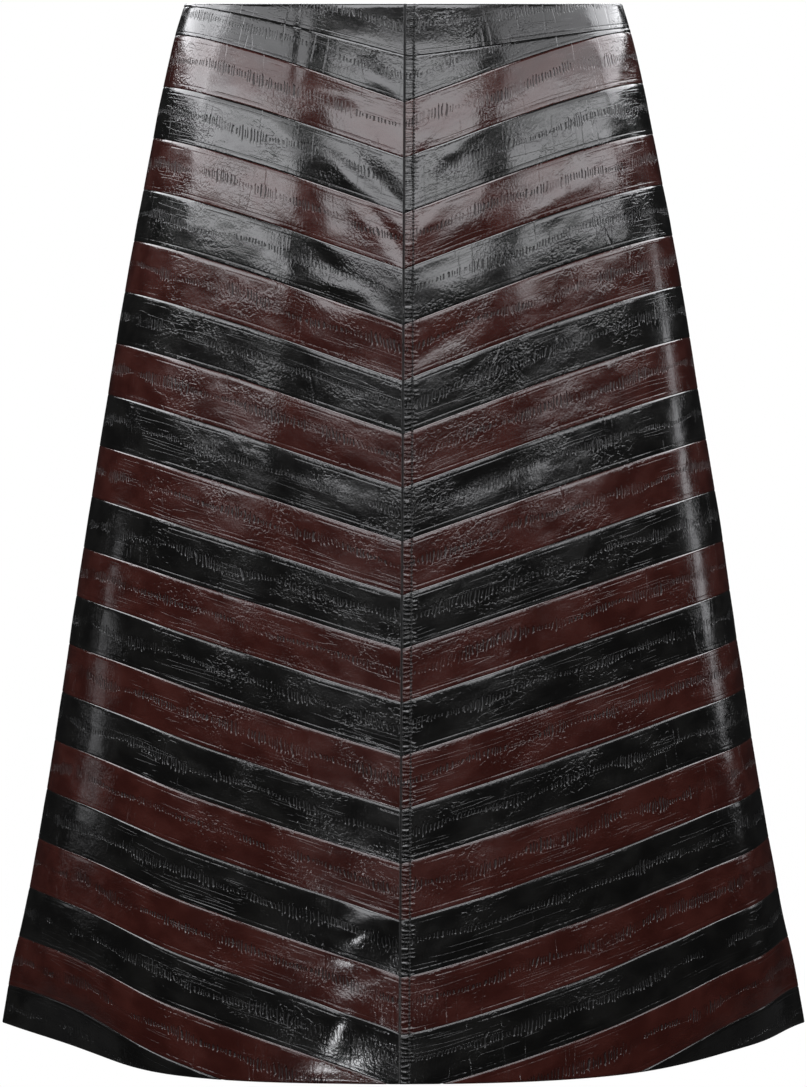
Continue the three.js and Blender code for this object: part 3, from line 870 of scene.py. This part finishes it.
def leather(name, colour, deep_colour, shine):
    """A glazed leather of this colour, with painted shade in its wrinkles, needle holes and seam folds."""
    material, tree, shader = new_finish(name)
    flat_map = node(tree, "ShaderNodeUVMap", uv_map="skin").outputs["UV"]
    skin = node(tree, "ShaderNodeGroup", node_tree=EEL_SKIN)
    fill(tree, skin, {"UV": flat_map})
    seams = node(tree, "ShaderNodeGroup", node_tree=CENTRE_SEAMS)
    fill(tree, seams, {"Place": node(tree, "ShaderNodeTexCoord").outputs["Object"]})
    mottle, wrinkled = skin.outputs["Mottle"], skin.outputs["Wrinkled"]
    dull = maths(tree, "MAXIMUM", seams.outputs["Holes"], seams.outputs["Fold"])
    dull = maths(tree, "MAXIMUM", product(tree, wrinkled, GLAZE["wrinkle_dull"]), dull)
    # Where the colour takes painted shade: the wrinkles of the comb, the needle holes and the seams' folds.
    marks = maths(tree, "MAXIMUM", wrinkled, dull)
    base = blended(tree, span(tree, mottle, *GLAZE["mottle"]), (*deep_colour, 1), (*colour, 1))
    # The colour of the painted shade, a quarter of the deep colour.
    painted_shade_colour = (*(c * GLAZE["painted_shade_share"] for c in deep_colour), 1)
    rough = span(tree, mottle, *GLAZE["rough_from"], shine, shine + GLAZE["rougher"])
    height = maths(tree, "MULTIPLY_ADD", seams.outputs["Holes"], GLAZE["hole"], skin.outputs["Height"])
    height = maths(tree, "MULTIPLY_ADD", seams.outputs["Puckers"], GLAZE["pucker"], height)
    bump = node(tree, "ShaderNodeBump", {"Strength": 1.0, "Distance": MILLIMETRE, "Height": height})
    fill(tree, shader, {
        "Base Color": blended(tree, marks, base, painted_shade_colour),
        "Roughness": maths(tree, "MULTIPLY_ADD", dull, GLAZE["dull_rough"], rough),
        "Coat Weight": span(tree, dull, 0.0, GLAZE["dull"], GLAZE["coat"], 0.0),
        "Coat Roughness": COAT_ROUGHNESS,
        "IOR": LEATHER_IOR,
        "Normal": bump.outputs["Normal"],
    })
    return material


BLACK = leather("black_leather", (0.0060, 0.0058, 0.0053), (0.0035, 0.0034, 0.0032), 0.13)
OXBLOOD = leather("oxblood_leather", (0.037, 0.0089, 0.0066), (0.024, 0.0056, 0.0043), 0.14)
print("leathers:", BLACK.name, OXBLOOD.name)

# %% [markdown]
# ### Woven cloth
# Inside, the skins are fused to a thin, matt cloth that keeps them from stretching, and the zip's tapes are
# woven too. Both show threads that pass over and under each other, so they share a group: two sets of waves
# along a flat map in metres, one for the warp and one for the weft.

# %% The weave group
SLUB = {"scale": 0.06, "detail": 2.0, "span": (0.3, 0.7)}
CLOTH = {"roughness": (0.75, 0.92), "relief": 0.0002}


def weave_group():
    """Builds the group: a flat place in metres and the threads to a metre in, the weave's height out."""
    tree, given, result = new_group("weave", {"Place": None, "Threads": 1400.0}, ("Weave", "Slub"))
    inputs = {0: given.outputs["Place"], "Scale": given.outputs["Threads"]}
    scaled = node(tree, "ShaderNodeVectorMath", inputs, operation="SCALE").outputs[0]
    parts = node(tree, "ShaderNodeSeparateXYZ", {0: scaled})
    warp, weft = (maths(tree, "SINE", product(tree, parts.outputs[i], math.pi)) for i in (0, 1))
    slub = {"Vector": scaled, "Scale": SLUB["scale"], "Detail": SLUB["detail"]}
    fill(tree, result, {"Weave": span(tree, product(tree, warp, weft), -1.0, 1.0),
                        "Slub": node(tree, "ShaderNodeTexNoise", slub).outputs["Fac"]})
    return tree


WEAVE = weave_group()


def woven(name, threads, dark, light):
    """A matt woven cloth on its piece's own flat map."""
    material, tree, shader = new_finish(name)
    weave = node(tree, "ShaderNodeGroup", node_tree=WEAVE)
    flat_map = node(tree, "ShaderNodeUVMap", uv_map="cut").outputs["UV"]
    fill(tree, weave, {"Threads": threads, "Place": flat_map})
    worn = product(tree, weave.outputs["Weave"], weave.outputs["Slub"])
    bump = node(tree, "ShaderNodeBump", {"Distance": CLOTH["relief"], "Height": weave.outputs["Weave"]})
    fill(tree, shader, {
        "Base Color": blended(tree, worn, (*dark, 1), (*light, 1)),
        "Roughness": span(tree, weave.outputs["Slub"], *SLUB["span"], *CLOTH["roughness"]),
        "Normal": bump.outputs["Normal"],
    })
    return material


BACKING = woven("fused_backing", 1400.0, (0.010, 0.010, 0.011), (0.034, 0.033, 0.033))
TAPE_CLOTH = woven("zip_tape_cloth", 1700.0, (0.008, 0.008, 0.009), (0.042, 0.042, 0.044))
print("cloths:", BACKING.name, TAPE_CLOTH.name)

# %% [markdown]
# ## All the strips
# The two top strips of each half are black, and below them the colours take turns. Every strip rides on
# the skirt and takes the finish of its colour. The size it was cut to is worked out, and its area is added
# up. It stands for its band's solid: down to level 16 the front and the back strip share one, and from
# level 17 each has its own.

# %% Sew the skirt
FIRST_PARTED = 17
LEAST_WIDTH = 0.011


def strip_cut(side, half, number):
    """The length, greatest width and area of a strip's flat cut."""
    share, _, upper, lower = strip_places(side, half, number)
    share = share[0]
    length = quarter_length(side, np.clip((upper + lower) / 2, 0, LENGTH))
    slope = np.gradient((upper + lower) / 2, share * length)
    run = np.diff(share) * (length[1:] + length[:-1]) / 2
    high = lower - upper
    area = float((run * (high[1:] + high[:-1]) / 2).sum())
    long = float((run * np.sqrt(1 + ((slope[1:] + slope[:-1]) / 2) ** 2)).sum())
    wide = float((high / np.sqrt(1 + slope ** 2)).max())
    return long, max(wide, LEAST_WIDTH), area


def sew_strip(side, half, number):
    """Makes one strip and hangs it on the skirt, and gives its count of triangles and its area."""
    is_black = number == 1 or number % 2 == 0
    strip = make_strip(side, half, number, BLACK if is_black else OXBLOOD, BACKING)
    band = f"{half_name(half)}_band_{number:02d}" + (f"_{side}" if number >= FIRST_PARTED else "")
    carry(strip, "skirt", "black_leather" if is_black else "oxblood_leather", band)
    long, wide, area = strip_cut(side, half, number)
    return 2 * len(strip.data.polygons), area


sewn = [sew_strip(side, half, number) for side in ("front", "back") for half in (-1, 1)
        for number in range(1, SEAM_COUNT + 2)]
triangles, cut_area = (sum(column) for column in zip(*sewn))
print(len(sewn), "strips,", triangles, "triangles,", round(cut_area, 3), "square metres of leather")

# %% [markdown]
# ## Small pieces at the seams
# Thread and zip lie along the centre seams. They are modelled flat, as (sideways, drop, depth under the
# hide), and then laid on the form as the strips were, so they follow it.

# %% Lay a small piece along a seam
def along_seam(side, flat, rides_creases):
    """Where flat places at a centre seam lie. A stiff piece keeps the mean depth of the creases."""
    sideways, drop, sunk = np.asarray(flat, float).T
    share = np.abs(sideways) / quarter_length(side, drop)
    middle = np.zeros_like(share)
    seam_depth = (relief(side, -1, middle, drop) + relief(side, 1, middle, drop)) / 2
    points = np.empty((len(drop), 3))
    for half in (-1, 1):
        own = (sideways < 0) == (half < 0)
        if own.any():
            deep = relief(side, half, share[own], drop[own]) if rides_creases else seam_depth[own]
            points[own] = lay(side, half, share[own], drop[own], sunk[own] + deep)
    return points


def repeat(bm, count, step):
    """Fills a bmesh with this many copies of what is in it, each moved on by a step, by doubling."""
    done = 1
    each = len(bm.verts)
    while done < count:
        more = min(done, count - done)
        verts = bm.verts[:more * each]
        faces = {face for vert in verts for face in vert.link_faces}
        made = bmesh.ops.duplicate(bm, geom=verts + list(faces))["geom"]
        copies = [part for part in made if isinstance(part, bmesh.types.BMVert)]
        bmesh.ops.translate(bm, verts=copies, vec=Vector(step) * done)
        done += more


# %% [markdown]
# ### Finishes of the small pieces
# Thread, nylon and enamel are all dark and fine. Each has a fine pattern on its Object coordinates that
# mixes two tones, and may also raise a little relief or change the gloss.

# %% Finishes of thread, nylon and metal
TONES = {
    "thread": ((0.006, 0.006, 0.006, 1), (0.020, 0.019, 0.019, 1)),
    "nylon": ((0.008, 0.008, 0.009, 1), (0.022, 0.022, 0.024, 1)),
    "enamel": ((0.020, 0.021, 0.023, 1), (0.085, 0.083, 0.080, 1)),
}
TWIST = {"scale": 900.0, "distortion": 0.4, "relief": 0.0001, "roughness": 0.42}
MOULDED = {"grain": (900.0, 2.0), "roughness": (0.3, 0.7, 0.28, 0.45)}
CAST = {"grain": (700.0, 3.0), "relief": 0.00005, "wear": (160.0, 3.0), "worn": (0.48, 0.68),
        "roughness": (0.3, 0.7, 0.24, 0.40), "metallic": 0.85}


def at_object(tree):
    """The Object coordinates."""
    return node(tree, "ShaderNodeTexCoord").outputs["Object"]


def grain(tree, scale, detail):
    """A noise on the Object coordinates."""
    inputs = {"Vector": at_object(tree), "Scale": scale, "Detail": detail}
    return node(tree, "ShaderNodeTexNoise", inputs).outputs["Fac"]


def relief_normal(tree, height, distance):
    """The normal of a bump of this height."""
    return node(tree, "ShaderNodeBump", {"Distance": distance, "Height": height}).outputs["Normal"]


def thread_finish():
    """A twisted black thread with a little sheen."""
    material, tree, shader = new_finish("topstitch_thread")
    waves = {"Vector": at_object(tree), "Scale": TWIST["scale"], "Distortion": TWIST["distortion"]}
    twist = node(tree, "ShaderNodeTexWave", waves, bands_direction="DIAGONAL").outputs["Fac"]
    fill(tree, shader, {
        "Base Color": blended(tree, twist, *TONES["thread"]),
        "Roughness": TWIST["roughness"],
        "Normal": relief_normal(tree, twist, TWIST["relief"]),
    })
    return material


def nylon_finish():
    """Hard black nylon, a little uneven."""
    material, tree, shader = new_finish("zip_coil_nylon")
    uneven = grain(tree, *MOULDED["grain"])
    fill(tree, shader, {
        "Base Color": blended(tree, uneven, *TONES["nylon"]),
        "Roughness": span(tree, uneven, *MOULDED["roughness"]),
    })
    return material


def enamel_finish():
    """Dark enamelled metal, worn in random patches to a lighter tone and a duller sheen."""
    material, tree, shader = new_finish("zip_enamelled_metal")
    wear = grain(tree, *CAST["wear"])
    fill(tree, shader, {
        "Base Color": blended(tree, span(tree, wear, *CAST["worn"]), *TONES["enamel"]),
        "Roughness": span(tree, wear, *CAST["roughness"]),
        "Metallic": CAST["metallic"],
        "Normal": relief_normal(tree, grain(tree, *CAST["grain"]), CAST["relief"]),
    })
    return material


THREAD, NYLON, ENAMEL = thread_finish(), nylon_finish(), enamel_finish()
print("fine finishes:", THREAD.name, NYLON.name, ENAMEL.name)

# %% [markdown]
# ## The topstitching
# One row of black thread holds the lapped side of the centre front seam. Each stitch is a short, plump
# capsule that dips into the needle holes at its ends: a squashed sphere of a few faces, repeated down the
# seam.

# %% The topstitches
STITCH = {"long": 0.0017, "thick": 0.00036, "proud": 0.00006, "margin": 0.004, "around": 6, "rings": 5}


def make_topstitches():
    """The whole row of stitches as one piece."""
    bm = bmesh.new()
    first = (math.ceil(STITCH["margin"] / STITCH_PITCH) + 0.5) * STITCH_PITCH
    at = Matrix.Translation((LAP["stitch_away"], first, -STITCH["proud"]))
    size = Matrix.Diagonal((STITCH["thick"] / 2, STITCH["long"] / 2, STITCH["thick"] / 2, 1))
    lying = Matrix.Rotation(math.pi / 2, 4, "X")
    bmesh.ops.create_uvsphere(bm, u_segments=STITCH["around"], v_segments=STITCH["rings"], radius=1,
                              matrix=at @ size @ lying)
    count = int((LENGTH - 2 * STITCH["margin"]) / STITCH_PITCH)
    repeat(bm, count, (0, STITCH_PITCH, 0))
    places = along_seam("front", flat_places(bm), True)
    return finished("front_topstitching", bm, [THREAD], places), count


topstitches, stitch_count = make_topstitches()
carry(topstitches, "skirt", "black_leather")
print(stitch_count, "topstitches", round(STITCH_PITCH * 1000, 2), "mm apart")

# %% [markdown]
# ## The concealed zip
# A skirt that fits the waist has to open somewhere. This zip hides inside the centre back seam: a woven
# tape is sewn to each allowance, a nylon coil runs along its edge, and the two coils hook into each other
# behind the seam. Only the slider's bridge and its pull tab show outside.

# %% The tapes
TAPE = {"top": 0.003, "bottom": 0.200, "near": 0.0004, "far": 0.012, "sunk": 0.0022, "thick": 0.0006}
TAPE_GRID = (8, 90)


def make_tape(half):
    """The tape of one side: a flat sheet laid under the allowance."""
    bm = flat_sheet(*TAPE_GRID)
    flat = flat_places(bm)
    away = TAPE["near"] + (TAPE["far"] - TAPE["near"]) * (0.5 - half * flat[:, 0])
    drop = TAPE["top"] + (TAPE["bottom"] - TAPE["top"]) * (0.5 - flat[:, 1])
    sunk = TAPE["sunk"] - TAPE["thick"] * flat[:, 2]
    laid = along_seam("back", np.stack([half * away, drop, sunk], axis=1), True)
    tape = finished(f"zip_tape_{half_name(half)}", bm, [TAPE_CLOTH], laid)
    add_flat_map(tape.data, "cut", np.stack([away, drop], axis=1))
    return tape


for half in (-1, 1):
    tape = make_tape(half)
    carry(tape, "skirt", "zip_tape", "zip_tape")
    print(tape.name, len(tape.data.polygons), "faces")

# %% [markdown]
# A coil is a wire wound round nothing: `spin` turns a small ring round the coil's axis and moves it along
# at the same time, which makes one turn of a screw. The turn is repeated, and the wound tube is flattened
# and laid along the seam.

# %% The coils
COIL = {"pitch": 0.00125, "half_width": 0.00125, "half_depth": 0.00075, "wire": 0.00024, "middle": 0.00085,
        "sunk": 0.00365, "steps": 8, "ring": 6, "top": 0.006, "bottom": 0.1975}


def make_coil(half):
    """One coil, a flattened screw of nylon wire."""
    bm = bmesh.new()
    at_radius = Matrix.Translation((COIL["half_width"], 0, 0)) @ Matrix.Rotation(math.pi / 2, 4, "X")
    bmesh.ops.create_circle(bm, segments=COIL["ring"], radius=COIL["wire"], matrix=at_radius)
    bmesh.ops.spin(bm, geom=bm.verts[:] + bm.edges[:], cent=(0, 0, 0), axis=(0, 0, 1),
                   steps=COIL["steps"], dvec=(0, 0, COIL["pitch"] / COIL["steps"]), angle=math.tau)
    repeat(bm, round((COIL["bottom"] - COIL["top"]) / COIL["pitch"]), (0, 0, COIL["pitch"]))
    bmesh.ops.remove_doubles(bm, verts=bm.verts[:], dist=COIL["wire"] / 100)
    bmesh.ops.holes_fill(bm, edges=bm.edges[:], sides=COIL["ring"])
    bmesh.ops.recalc_face_normals(bm, faces=bm.faces[:])
    if half < 0:
        bmesh.ops.reverse_faces(bm, faces=bm.faces[:])
    flat = flat_places(bm)
    sideways = half * (COIL["middle"] + flat[:, 0])
    drop = COIL["top"] + (COIL["pitch"] / 2 if half < 0 else 0.0) + flat[:, 2]
    sunk = COIL["sunk"] + flat[:, 1] * COIL["half_depth"] / COIL["half_width"]
    laid = along_seam("back", np.stack([sideways, drop, sunk], axis=1), False)
    return finished(f"zip_coil_{half_name(half)}", bm, [NYLON], laid)


for half in (-1, 1):
    coil = make_coil(half)
    carry(coil, "skirt", "zip_tape", "zip_tape")
    print(coil.name, len(coil.data.polygons), "faces")

# %% [markdown]
# The bottom stop keeps the slider on the zip. It is a small clip of enamelled metal, a bevelled box with a
# pressed groove.

# %% The bottom stop
STOP = {"half_width": 0.0026, "half_high": 0.0016, "half_depth": 0.0012, "drop": 0.1965, "bevel": 0.0003,
        "rim": 0.0005, "groove": -0.0002}
NEARLY = 0.99


def make_stop():
    """The bottom stop, folded over both coils."""
    bm = bmesh.new()
    size = Matrix.Diagonal((STOP["half_width"], STOP["half_high"], STOP["half_depth"], 1))
    bmesh.ops.create_cube(bm, size=2, matrix=size)
    bmesh.ops.bevel(bm, geom=bm.edges[:], offset=STOP["bevel"], segments=2, profile=0.5,
                    affect="EDGES", material=-1)
    wide = [face for face in bm.faces if abs(face.normal.z) > NEARLY]
    bmesh.ops.inset_individual(bm, faces=wide, thickness=STOP["rim"], depth=STOP["groove"])
    flat = flat_places(bm) + (0, STOP["drop"], COIL["sunk"])
    bmesh.ops.recalc_face_normals(bm, faces=bm.faces[:])
    bmesh.ops.reverse_faces(bm, faces=bm.faces[:])
    return finished("zip_bottom_stop", bm, [ENAMEL], along_seam("back", flat, False))


stop = make_stop()
carry(stop, "skirt", "zip_metal", "zip_tape")

# %% [markdown]
# ### The slider and the pull tab
# The slider's plate lies on the cloth, and a small bridge over it holds the tab, which swings up about
# the bridge's window. Both are blanks cut from sheet: a grid whose rows are given their widths, thickened
# and then bevelled. They are made about the tab's pivot, with +Z up the skirt and +Y away from the cloth.

# %% Blanks of sheet metal
SLIDER = {"drop": 0.010, "plate": 0.0012, "lift": 0.0003, "up": 0.0032, "down": 0.007,
          "top": 0.0023, "foot": 0.0015, "bevel": 0.0003}
BRIDGE = {"width": 0.0016, "window": 0.0015, "bar": 0.0009, "above": 0.00075, "length": 0.0046,
          "corner": 0.0007, "bevel": 0.00018}
TAB = {"thickness": 0.0008, "half_width": 0.0029, "shoulder": 0.0072, "neck": 0.003, "end": 0.019,
       "bevel": 0.00022, "dish": 0.00015, "dish_edge": 0.0004}
EYE = {"half_width": 0.0012, "end": 0.00535, "rail": 0.001}
ROUND_STEPS = 7
TIP_WIDTH = 0.1
NECK_STEPS = 5
SHARP = math.radians(40)


def rounded(middle, radius, way):
    """The rows of a round end, as (height, half width), from its widest place to its tip."""
    turns = [step / ROUND_STEPS * math.pi / 2 for step in range(ROUND_STEPS + 1)]
    return [(middle + way * radius * math.sin(turn), radius * max(math.cos(turn), TIP_WIDTH))
            for turn in turns]


def bevel_sharp(bm, offset, segments=3):
    """Rounds every sharp edge."""
    sharp = [edge for edge in bm.edges if len(edge.link_faces) == 2 and edge.calc_face_angle() > SHARP]
    bmesh.ops.bevel(bm, geom=sharp, offset=offset, segments=segments, profile=0.5, affect="EDGES",
                    material=-1, clamp_overlap=True)


def blank(rows, inner, thickness, back, hole_row=None):
    """A blank with this outline in the XZ plane, its back face at this depth, and a hole in one row."""
    bm = bmesh.new()
    bmesh.ops.create_grid(bm, x_segments=3, y_segments=len(rows) - 1, size=0.5)
    if hole_row is not None:
        centre = Vector((0, 0.5 - (hole_row + 0.5) / (len(rows) - 1), 0))
        hole = min(bm.faces, key=lambda face: (face.calc_center_median() - centre).length)
        bmesh.ops.delete(bm, geom=[hole], context="FACES")
    for vert in bm.verts:
        height, half_width = rows[round((0.5 - vert.co.y) * (len(rows) - 1))]
        near = min(inner, half_width / 2)
        column = (-half_width, -near, near, half_width)[round((vert.co.x + 0.5) * 3)]
        vert.co = (column, back, height)
    bm.normal_update()
    bmesh.ops.solidify(bm, geom=bm.faces[:], thickness=thickness)
    bmesh.ops.recalc_face_normals(bm, faces=bm.faces[:])
    return bm


def at_back_centre(drop):
    """The point of the centre back seam at a drop."""
    place = lay("back", 1, np.zeros(1), np.array([drop]), 0)[0]
    return Vector((0, place[1], place[2]))


above, below = at_back_centre(SLIDER["drop"] - SLIDER["up"]), at_back_centre(SLIDER["drop"] + TAB["end"])
LEAN = math.atan2(below.y - above.y, above.z - below.z)
PIVOT_LIFT = SLIDER["lift"] + SLIDER["plate"] + BRIDGE["window"] / 2
TO_PIVOT = (Matrix.Translation(at_back_centre(SLIDER["drop"])) @ Matrix.Rotation(LEAN, 4, "X")
            @ Matrix.Translation((0, PIVOT_LIFT, 0)))
print("the tab's pivot is at", tuple(round(c, 5) for c in TO_PIVOT.translation))


# %% The slider
def make_arch():
    """The bridge: a frame of four bars, cut from a grid and thickened, with rounded outer corners."""
    arch = bmesh.new()
    outer = BRIDGE["window"] / 2 + BRIDGE["bar"]
    top, foot = BRIDGE["above"] + BRIDGE["bar"], BRIDGE["above"] - BRIDGE["length"] - BRIDGE["bar"]
    lying = Matrix.Translation((0, 0, (top + foot) / 2)) @ Matrix.Diagonal((1, 2 * outer, top - foot, 1))
    upright = Matrix.Rotation(math.pi / 2, 4, "Y")
    bmesh.ops.create_grid(arch, x_segments=1, y_segments=1, size=0.5, matrix=lying @ upright)
    window = arch.faces[:]
    bmesh.ops.inset_individual(arch, faces=window, thickness=BRIDGE["bar"])
    bmesh.ops.delete(arch, geom=window, context="FACES")
    arch.normal_update()
    bmesh.ops.solidify(arch, geom=arch.faces[:], thickness=BRIDGE["width"])
    bmesh.ops.recalc_face_normals(arch, faces=arch.faces[:])
    xs = [vert.co.x for vert in arch.verts]
    bmesh.ops.translate(arch, verts=arch.verts[:], vec=(-(max(xs) + min(xs)) / 2, 0, 0))
    corners = [edge for edge in arch.edges if all(vert.co.y > outer * NEARLY for vert in edge.verts)
               and abs(edge.verts[0].co.x - edge.verts[1].co.x) > BRIDGE["width"] / 2]
    bmesh.ops.bevel(arch, geom=corners, offset=BRIDGE["corner"], segments=4, profile=0.5,
                    affect="EDGES", material=-1)
    bevel_sharp(arch, BRIDGE["bevel"], 2)
    return arch


def make_slider():
    """The plate and the bridge over it."""
    rows = rounded(SLIDER["up"] - SLIDER["top"], SLIDER["top"], 1)[::-1]
    rows += rounded(SLIDER["foot"] - SLIDER["down"], SLIDER["foot"], -1)
    plate_face = -BRIDGE["window"] / 2
    bm = blank(rows, SLIDER["foot"] / 2, SLIDER["plate"], plate_face)
    depths = [vert.co.y for vert in bm.verts]
    bmesh.ops.translate(bm, verts=bm.verts[:], vec=(0, plate_face - max(depths), 0))
    bevel_sharp(bm, SLIDER["bevel"])
    arch_mesh = bpy.data.meshes.new("bridge")
    arch = make_arch()
    arch.to_mesh(arch_mesh)
    arch.free()
    bm.from_mesh(arch_mesh)
    bpy.data.meshes.remove(arch_mesh)
    bmesh.ops.transform(bm, matrix=TO_PIVOT, verts=bm.verts[:])
    return finished("zip_slider_body", bm, [ENAMEL])


slider = make_slider()
carry(slider, "skirt", "zip_metal", "zip_slider")


# %% The pull tab
def make_tab():
    """The tab, a flat drop with an eye that hangs from the bridge."""
    top, neck_from = TAB["thickness"] / 2, TAB["shoulder"]
    shoulder_half, widest = EYE["half_width"] + EYE["rail"], TAB["half_width"]
    end_middle = widest - TAB["end"]
    rows = [(top, shoulder_half), (-top, shoulder_half), (-EYE["end"], shoulder_half)]
    for step in range(NECK_STEPS + 1):
        t = step / NECK_STEPS
        first, bent, last = (1 - t) ** 2, 2 * t * (1 - t), t * t
        height = -neck_from * first - (neck_from + TAB["neck"]) * bent + end_middle * last
        rows.append((height, shoulder_half * first + widest * (bent + last)))
    rows += rounded(end_middle, widest, -1)[1:]
    bm = blank(rows, EYE["half_width"], TAB["thickness"], TAB["thickness"] / 2, hole_row=1)
    depths = [vert.co.y for vert in bm.verts]
    bmesh.ops.translate(bm, verts=bm.verts[:], vec=(0, -(max(depths) + min(depths)) / 2, 0))
    dish = []
    for face in bm.faces:
        middle = face.calc_center_median()
        in_length = end_middle < middle.z < -neck_from - TAB["neck"]
        if face.normal.y > NEARLY and abs(middle.x) < top and in_length:
            dish.append(face)
    bmesh.ops.inset_region(bm, faces=dish, thickness=TAB["dish_edge"], depth=-TAB["dish"])
    bevel_sharp(bm, TAB["bevel"])
    bmesh.ops.transform(bm, matrix=TO_PIVOT, verts=bm.verts[:])
    return finished("zip_pull", bm, [ENAMEL])


pull = make_tab()
carry(pull, "pull_tab", "zip_metal", "zip_pull_tab")
print("zip pieces:", sum(len(piece.data.polygons) for piece in (slider, pull, stop)), "faces of metal")

# %% [markdown]
# ## Light
# Glossy black shows nothing but what it mirrors. The hip leans back and mirrors softboxes that stand above
# the camera's height. On each side a low, narrow one is bright and the one above it is dimmer, so the
# reflection fades upwards. In front a high one is bright, with a faint narrow one under it. The flare is
# nearly upright and mirrors the dark room, apart from one small softbox low in front. An overhead one is
# there for the seams: each rounded shoulder catches it as a thin bright line. Two small ones, a little
# behind, give the sides a rim, and a set of large ones lights the back.

# %% The lights
SOFTBOX_TINT = (0.965, 0.97, 1.0)
# Name, azimuth, elevation, distance, width, height and power
SOFTBOXES = [
    ("left", -66, 19.3, 2.6, 2.4, 0.32, 13.5),
    ("left_high", -66, 31, 2.6, 2.4, 0.8, 17),
    ("right", 64, 19.3, 2.6, 2.6, 0.32, 12.5),
    ("right_high", 64, 31, 2.6, 2.4, 0.8, 13),
    ("front_high", 0, 25, 2.9, 2.6, 0.7, 27),
    ("front_mid", 0, 16.5, 2.9, 2.6, 0.24, 0.9),
    ("overhead", 0, 54, 2.8, 2.2, 1.2, 56),
    ("low_patch", -9, -6.5, 2.8, 0.28, 0.22, 3.9),
    ("left_rim", -112, -2, 2.8, 0.28, 0.3, 0.26),
    ("right_rim", 116, 4, 2.8, 0.3, 0.6, 1.2),
    ("back_left", -114, 31.5, 2.6, 2.1, 1.25, 46),
    ("back_right", 118, 31.5, 2.6, 2.1, 1.25, 46),
    ("back_high", 180, 24, 2.9, 2.6, 0.6, 23),
    ("back_low", 180, 16, 2.9, 2.6, 0.3, 2.4),
    ("back_overhead", 180, 54, 2.8, 2.2, 1.2, 36),
]


def softbox(name, azimuth, elevation, distance, width, height, power):
    """A softbox that looks at the middle of the skirt. Azimuth 0 is at the camera, 90 on the right."""
    data = bpy.data.lights.new(name, "AREA")
    data.shape = "RECTANGLE"
    data.size = width
    data.size_y = height
    data.energy = power
    data.color = SOFTBOX_TINT
    light = bpy.data.objects.new(name, data)
    turn, rise = math.radians(azimuth), math.radians(elevation)
    away = Vector((math.sin(turn) * math.cos(rise), -math.cos(turn) * math.cos(rise), math.sin(rise)))
    light.location = Vector((0, 0, -LENGTH / 2)) + away * distance
    light.rotation_euler = (-away).to_track_quat("-Z", "Y").to_euler()
    light.visible_camera = False
    bpy.context.scene.collection.objects.link(light)


for row in SOFTBOXES:
    softbox(*row)
print(len(SOFTBOXES), "softboxes")

# %% [markdown]
# The backdrop is white to the camera alone. What the leather mirrors of the room is a dim grey, because a
# white room would turn black leather grey.

# %% The room
ROOM_GREY = (0.008, 0.0082, 0.0085, 1)
FLOOR_GREY = (0.02, 0.02, 0.02, 1)
WHITE = (1, 1, 1, 1)
FLOOR_DROP = 0.90
FLOOR_RADIUS = 1.6
FLOOR_CORNERS = 96


def seen_white(tree, dim, white, output):
    """Sends out the white shader to the camera and the dim one to all else."""
    seen = node(tree, "ShaderNodeLightPath").outputs["Is Camera Ray"]
    mixed = node(tree, "ShaderNodeMixShader", {0: seen, 1: dim.outputs[0], 2: white.outputs[0]})
    node(tree, output, {"Surface": mixed.outputs[0]})


world = bpy.data.worlds.new("room")
bpy.context.scene.world = world
world.use_nodes = True
world.node_tree.nodes.clear()
dim = node(world.node_tree, "ShaderNodeBackground", {"Color": ROOM_GREY, "Strength": 1.0})
white = node(world.node_tree, "ShaderNodeBackground", {"Color": WHITE, "Strength": 1.0})
seen_white(world.node_tree, dim, white, "ShaderNodeOutputWorld")
bpy.context.scene.view_settings.view_transform = "Standard"


def make_floor():
    """A pale floor under the skirt, white to the camera and dim to the leather, as the room is."""
    material, tree, _ = new_finish("pale_floor")
    tree.nodes.clear()
    dim = node(tree, "ShaderNodeBsdfDiffuse", {"Color": FLOOR_GREY})
    white = node(tree, "ShaderNodeEmission", {"Color": WHITE, "Strength": 1.0})
    seen_white(tree, dim, white, "ShaderNodeOutputMaterial")
    bm = bmesh.new()
    bmesh.ops.create_circle(bm, cap_ends=True, segments=FLOOR_CORNERS, radius=FLOOR_RADIUS,
                            matrix=Matrix.Translation((0, 0, -FLOOR_DROP)))
    return finished("floor", bm, [material])


make_floor()
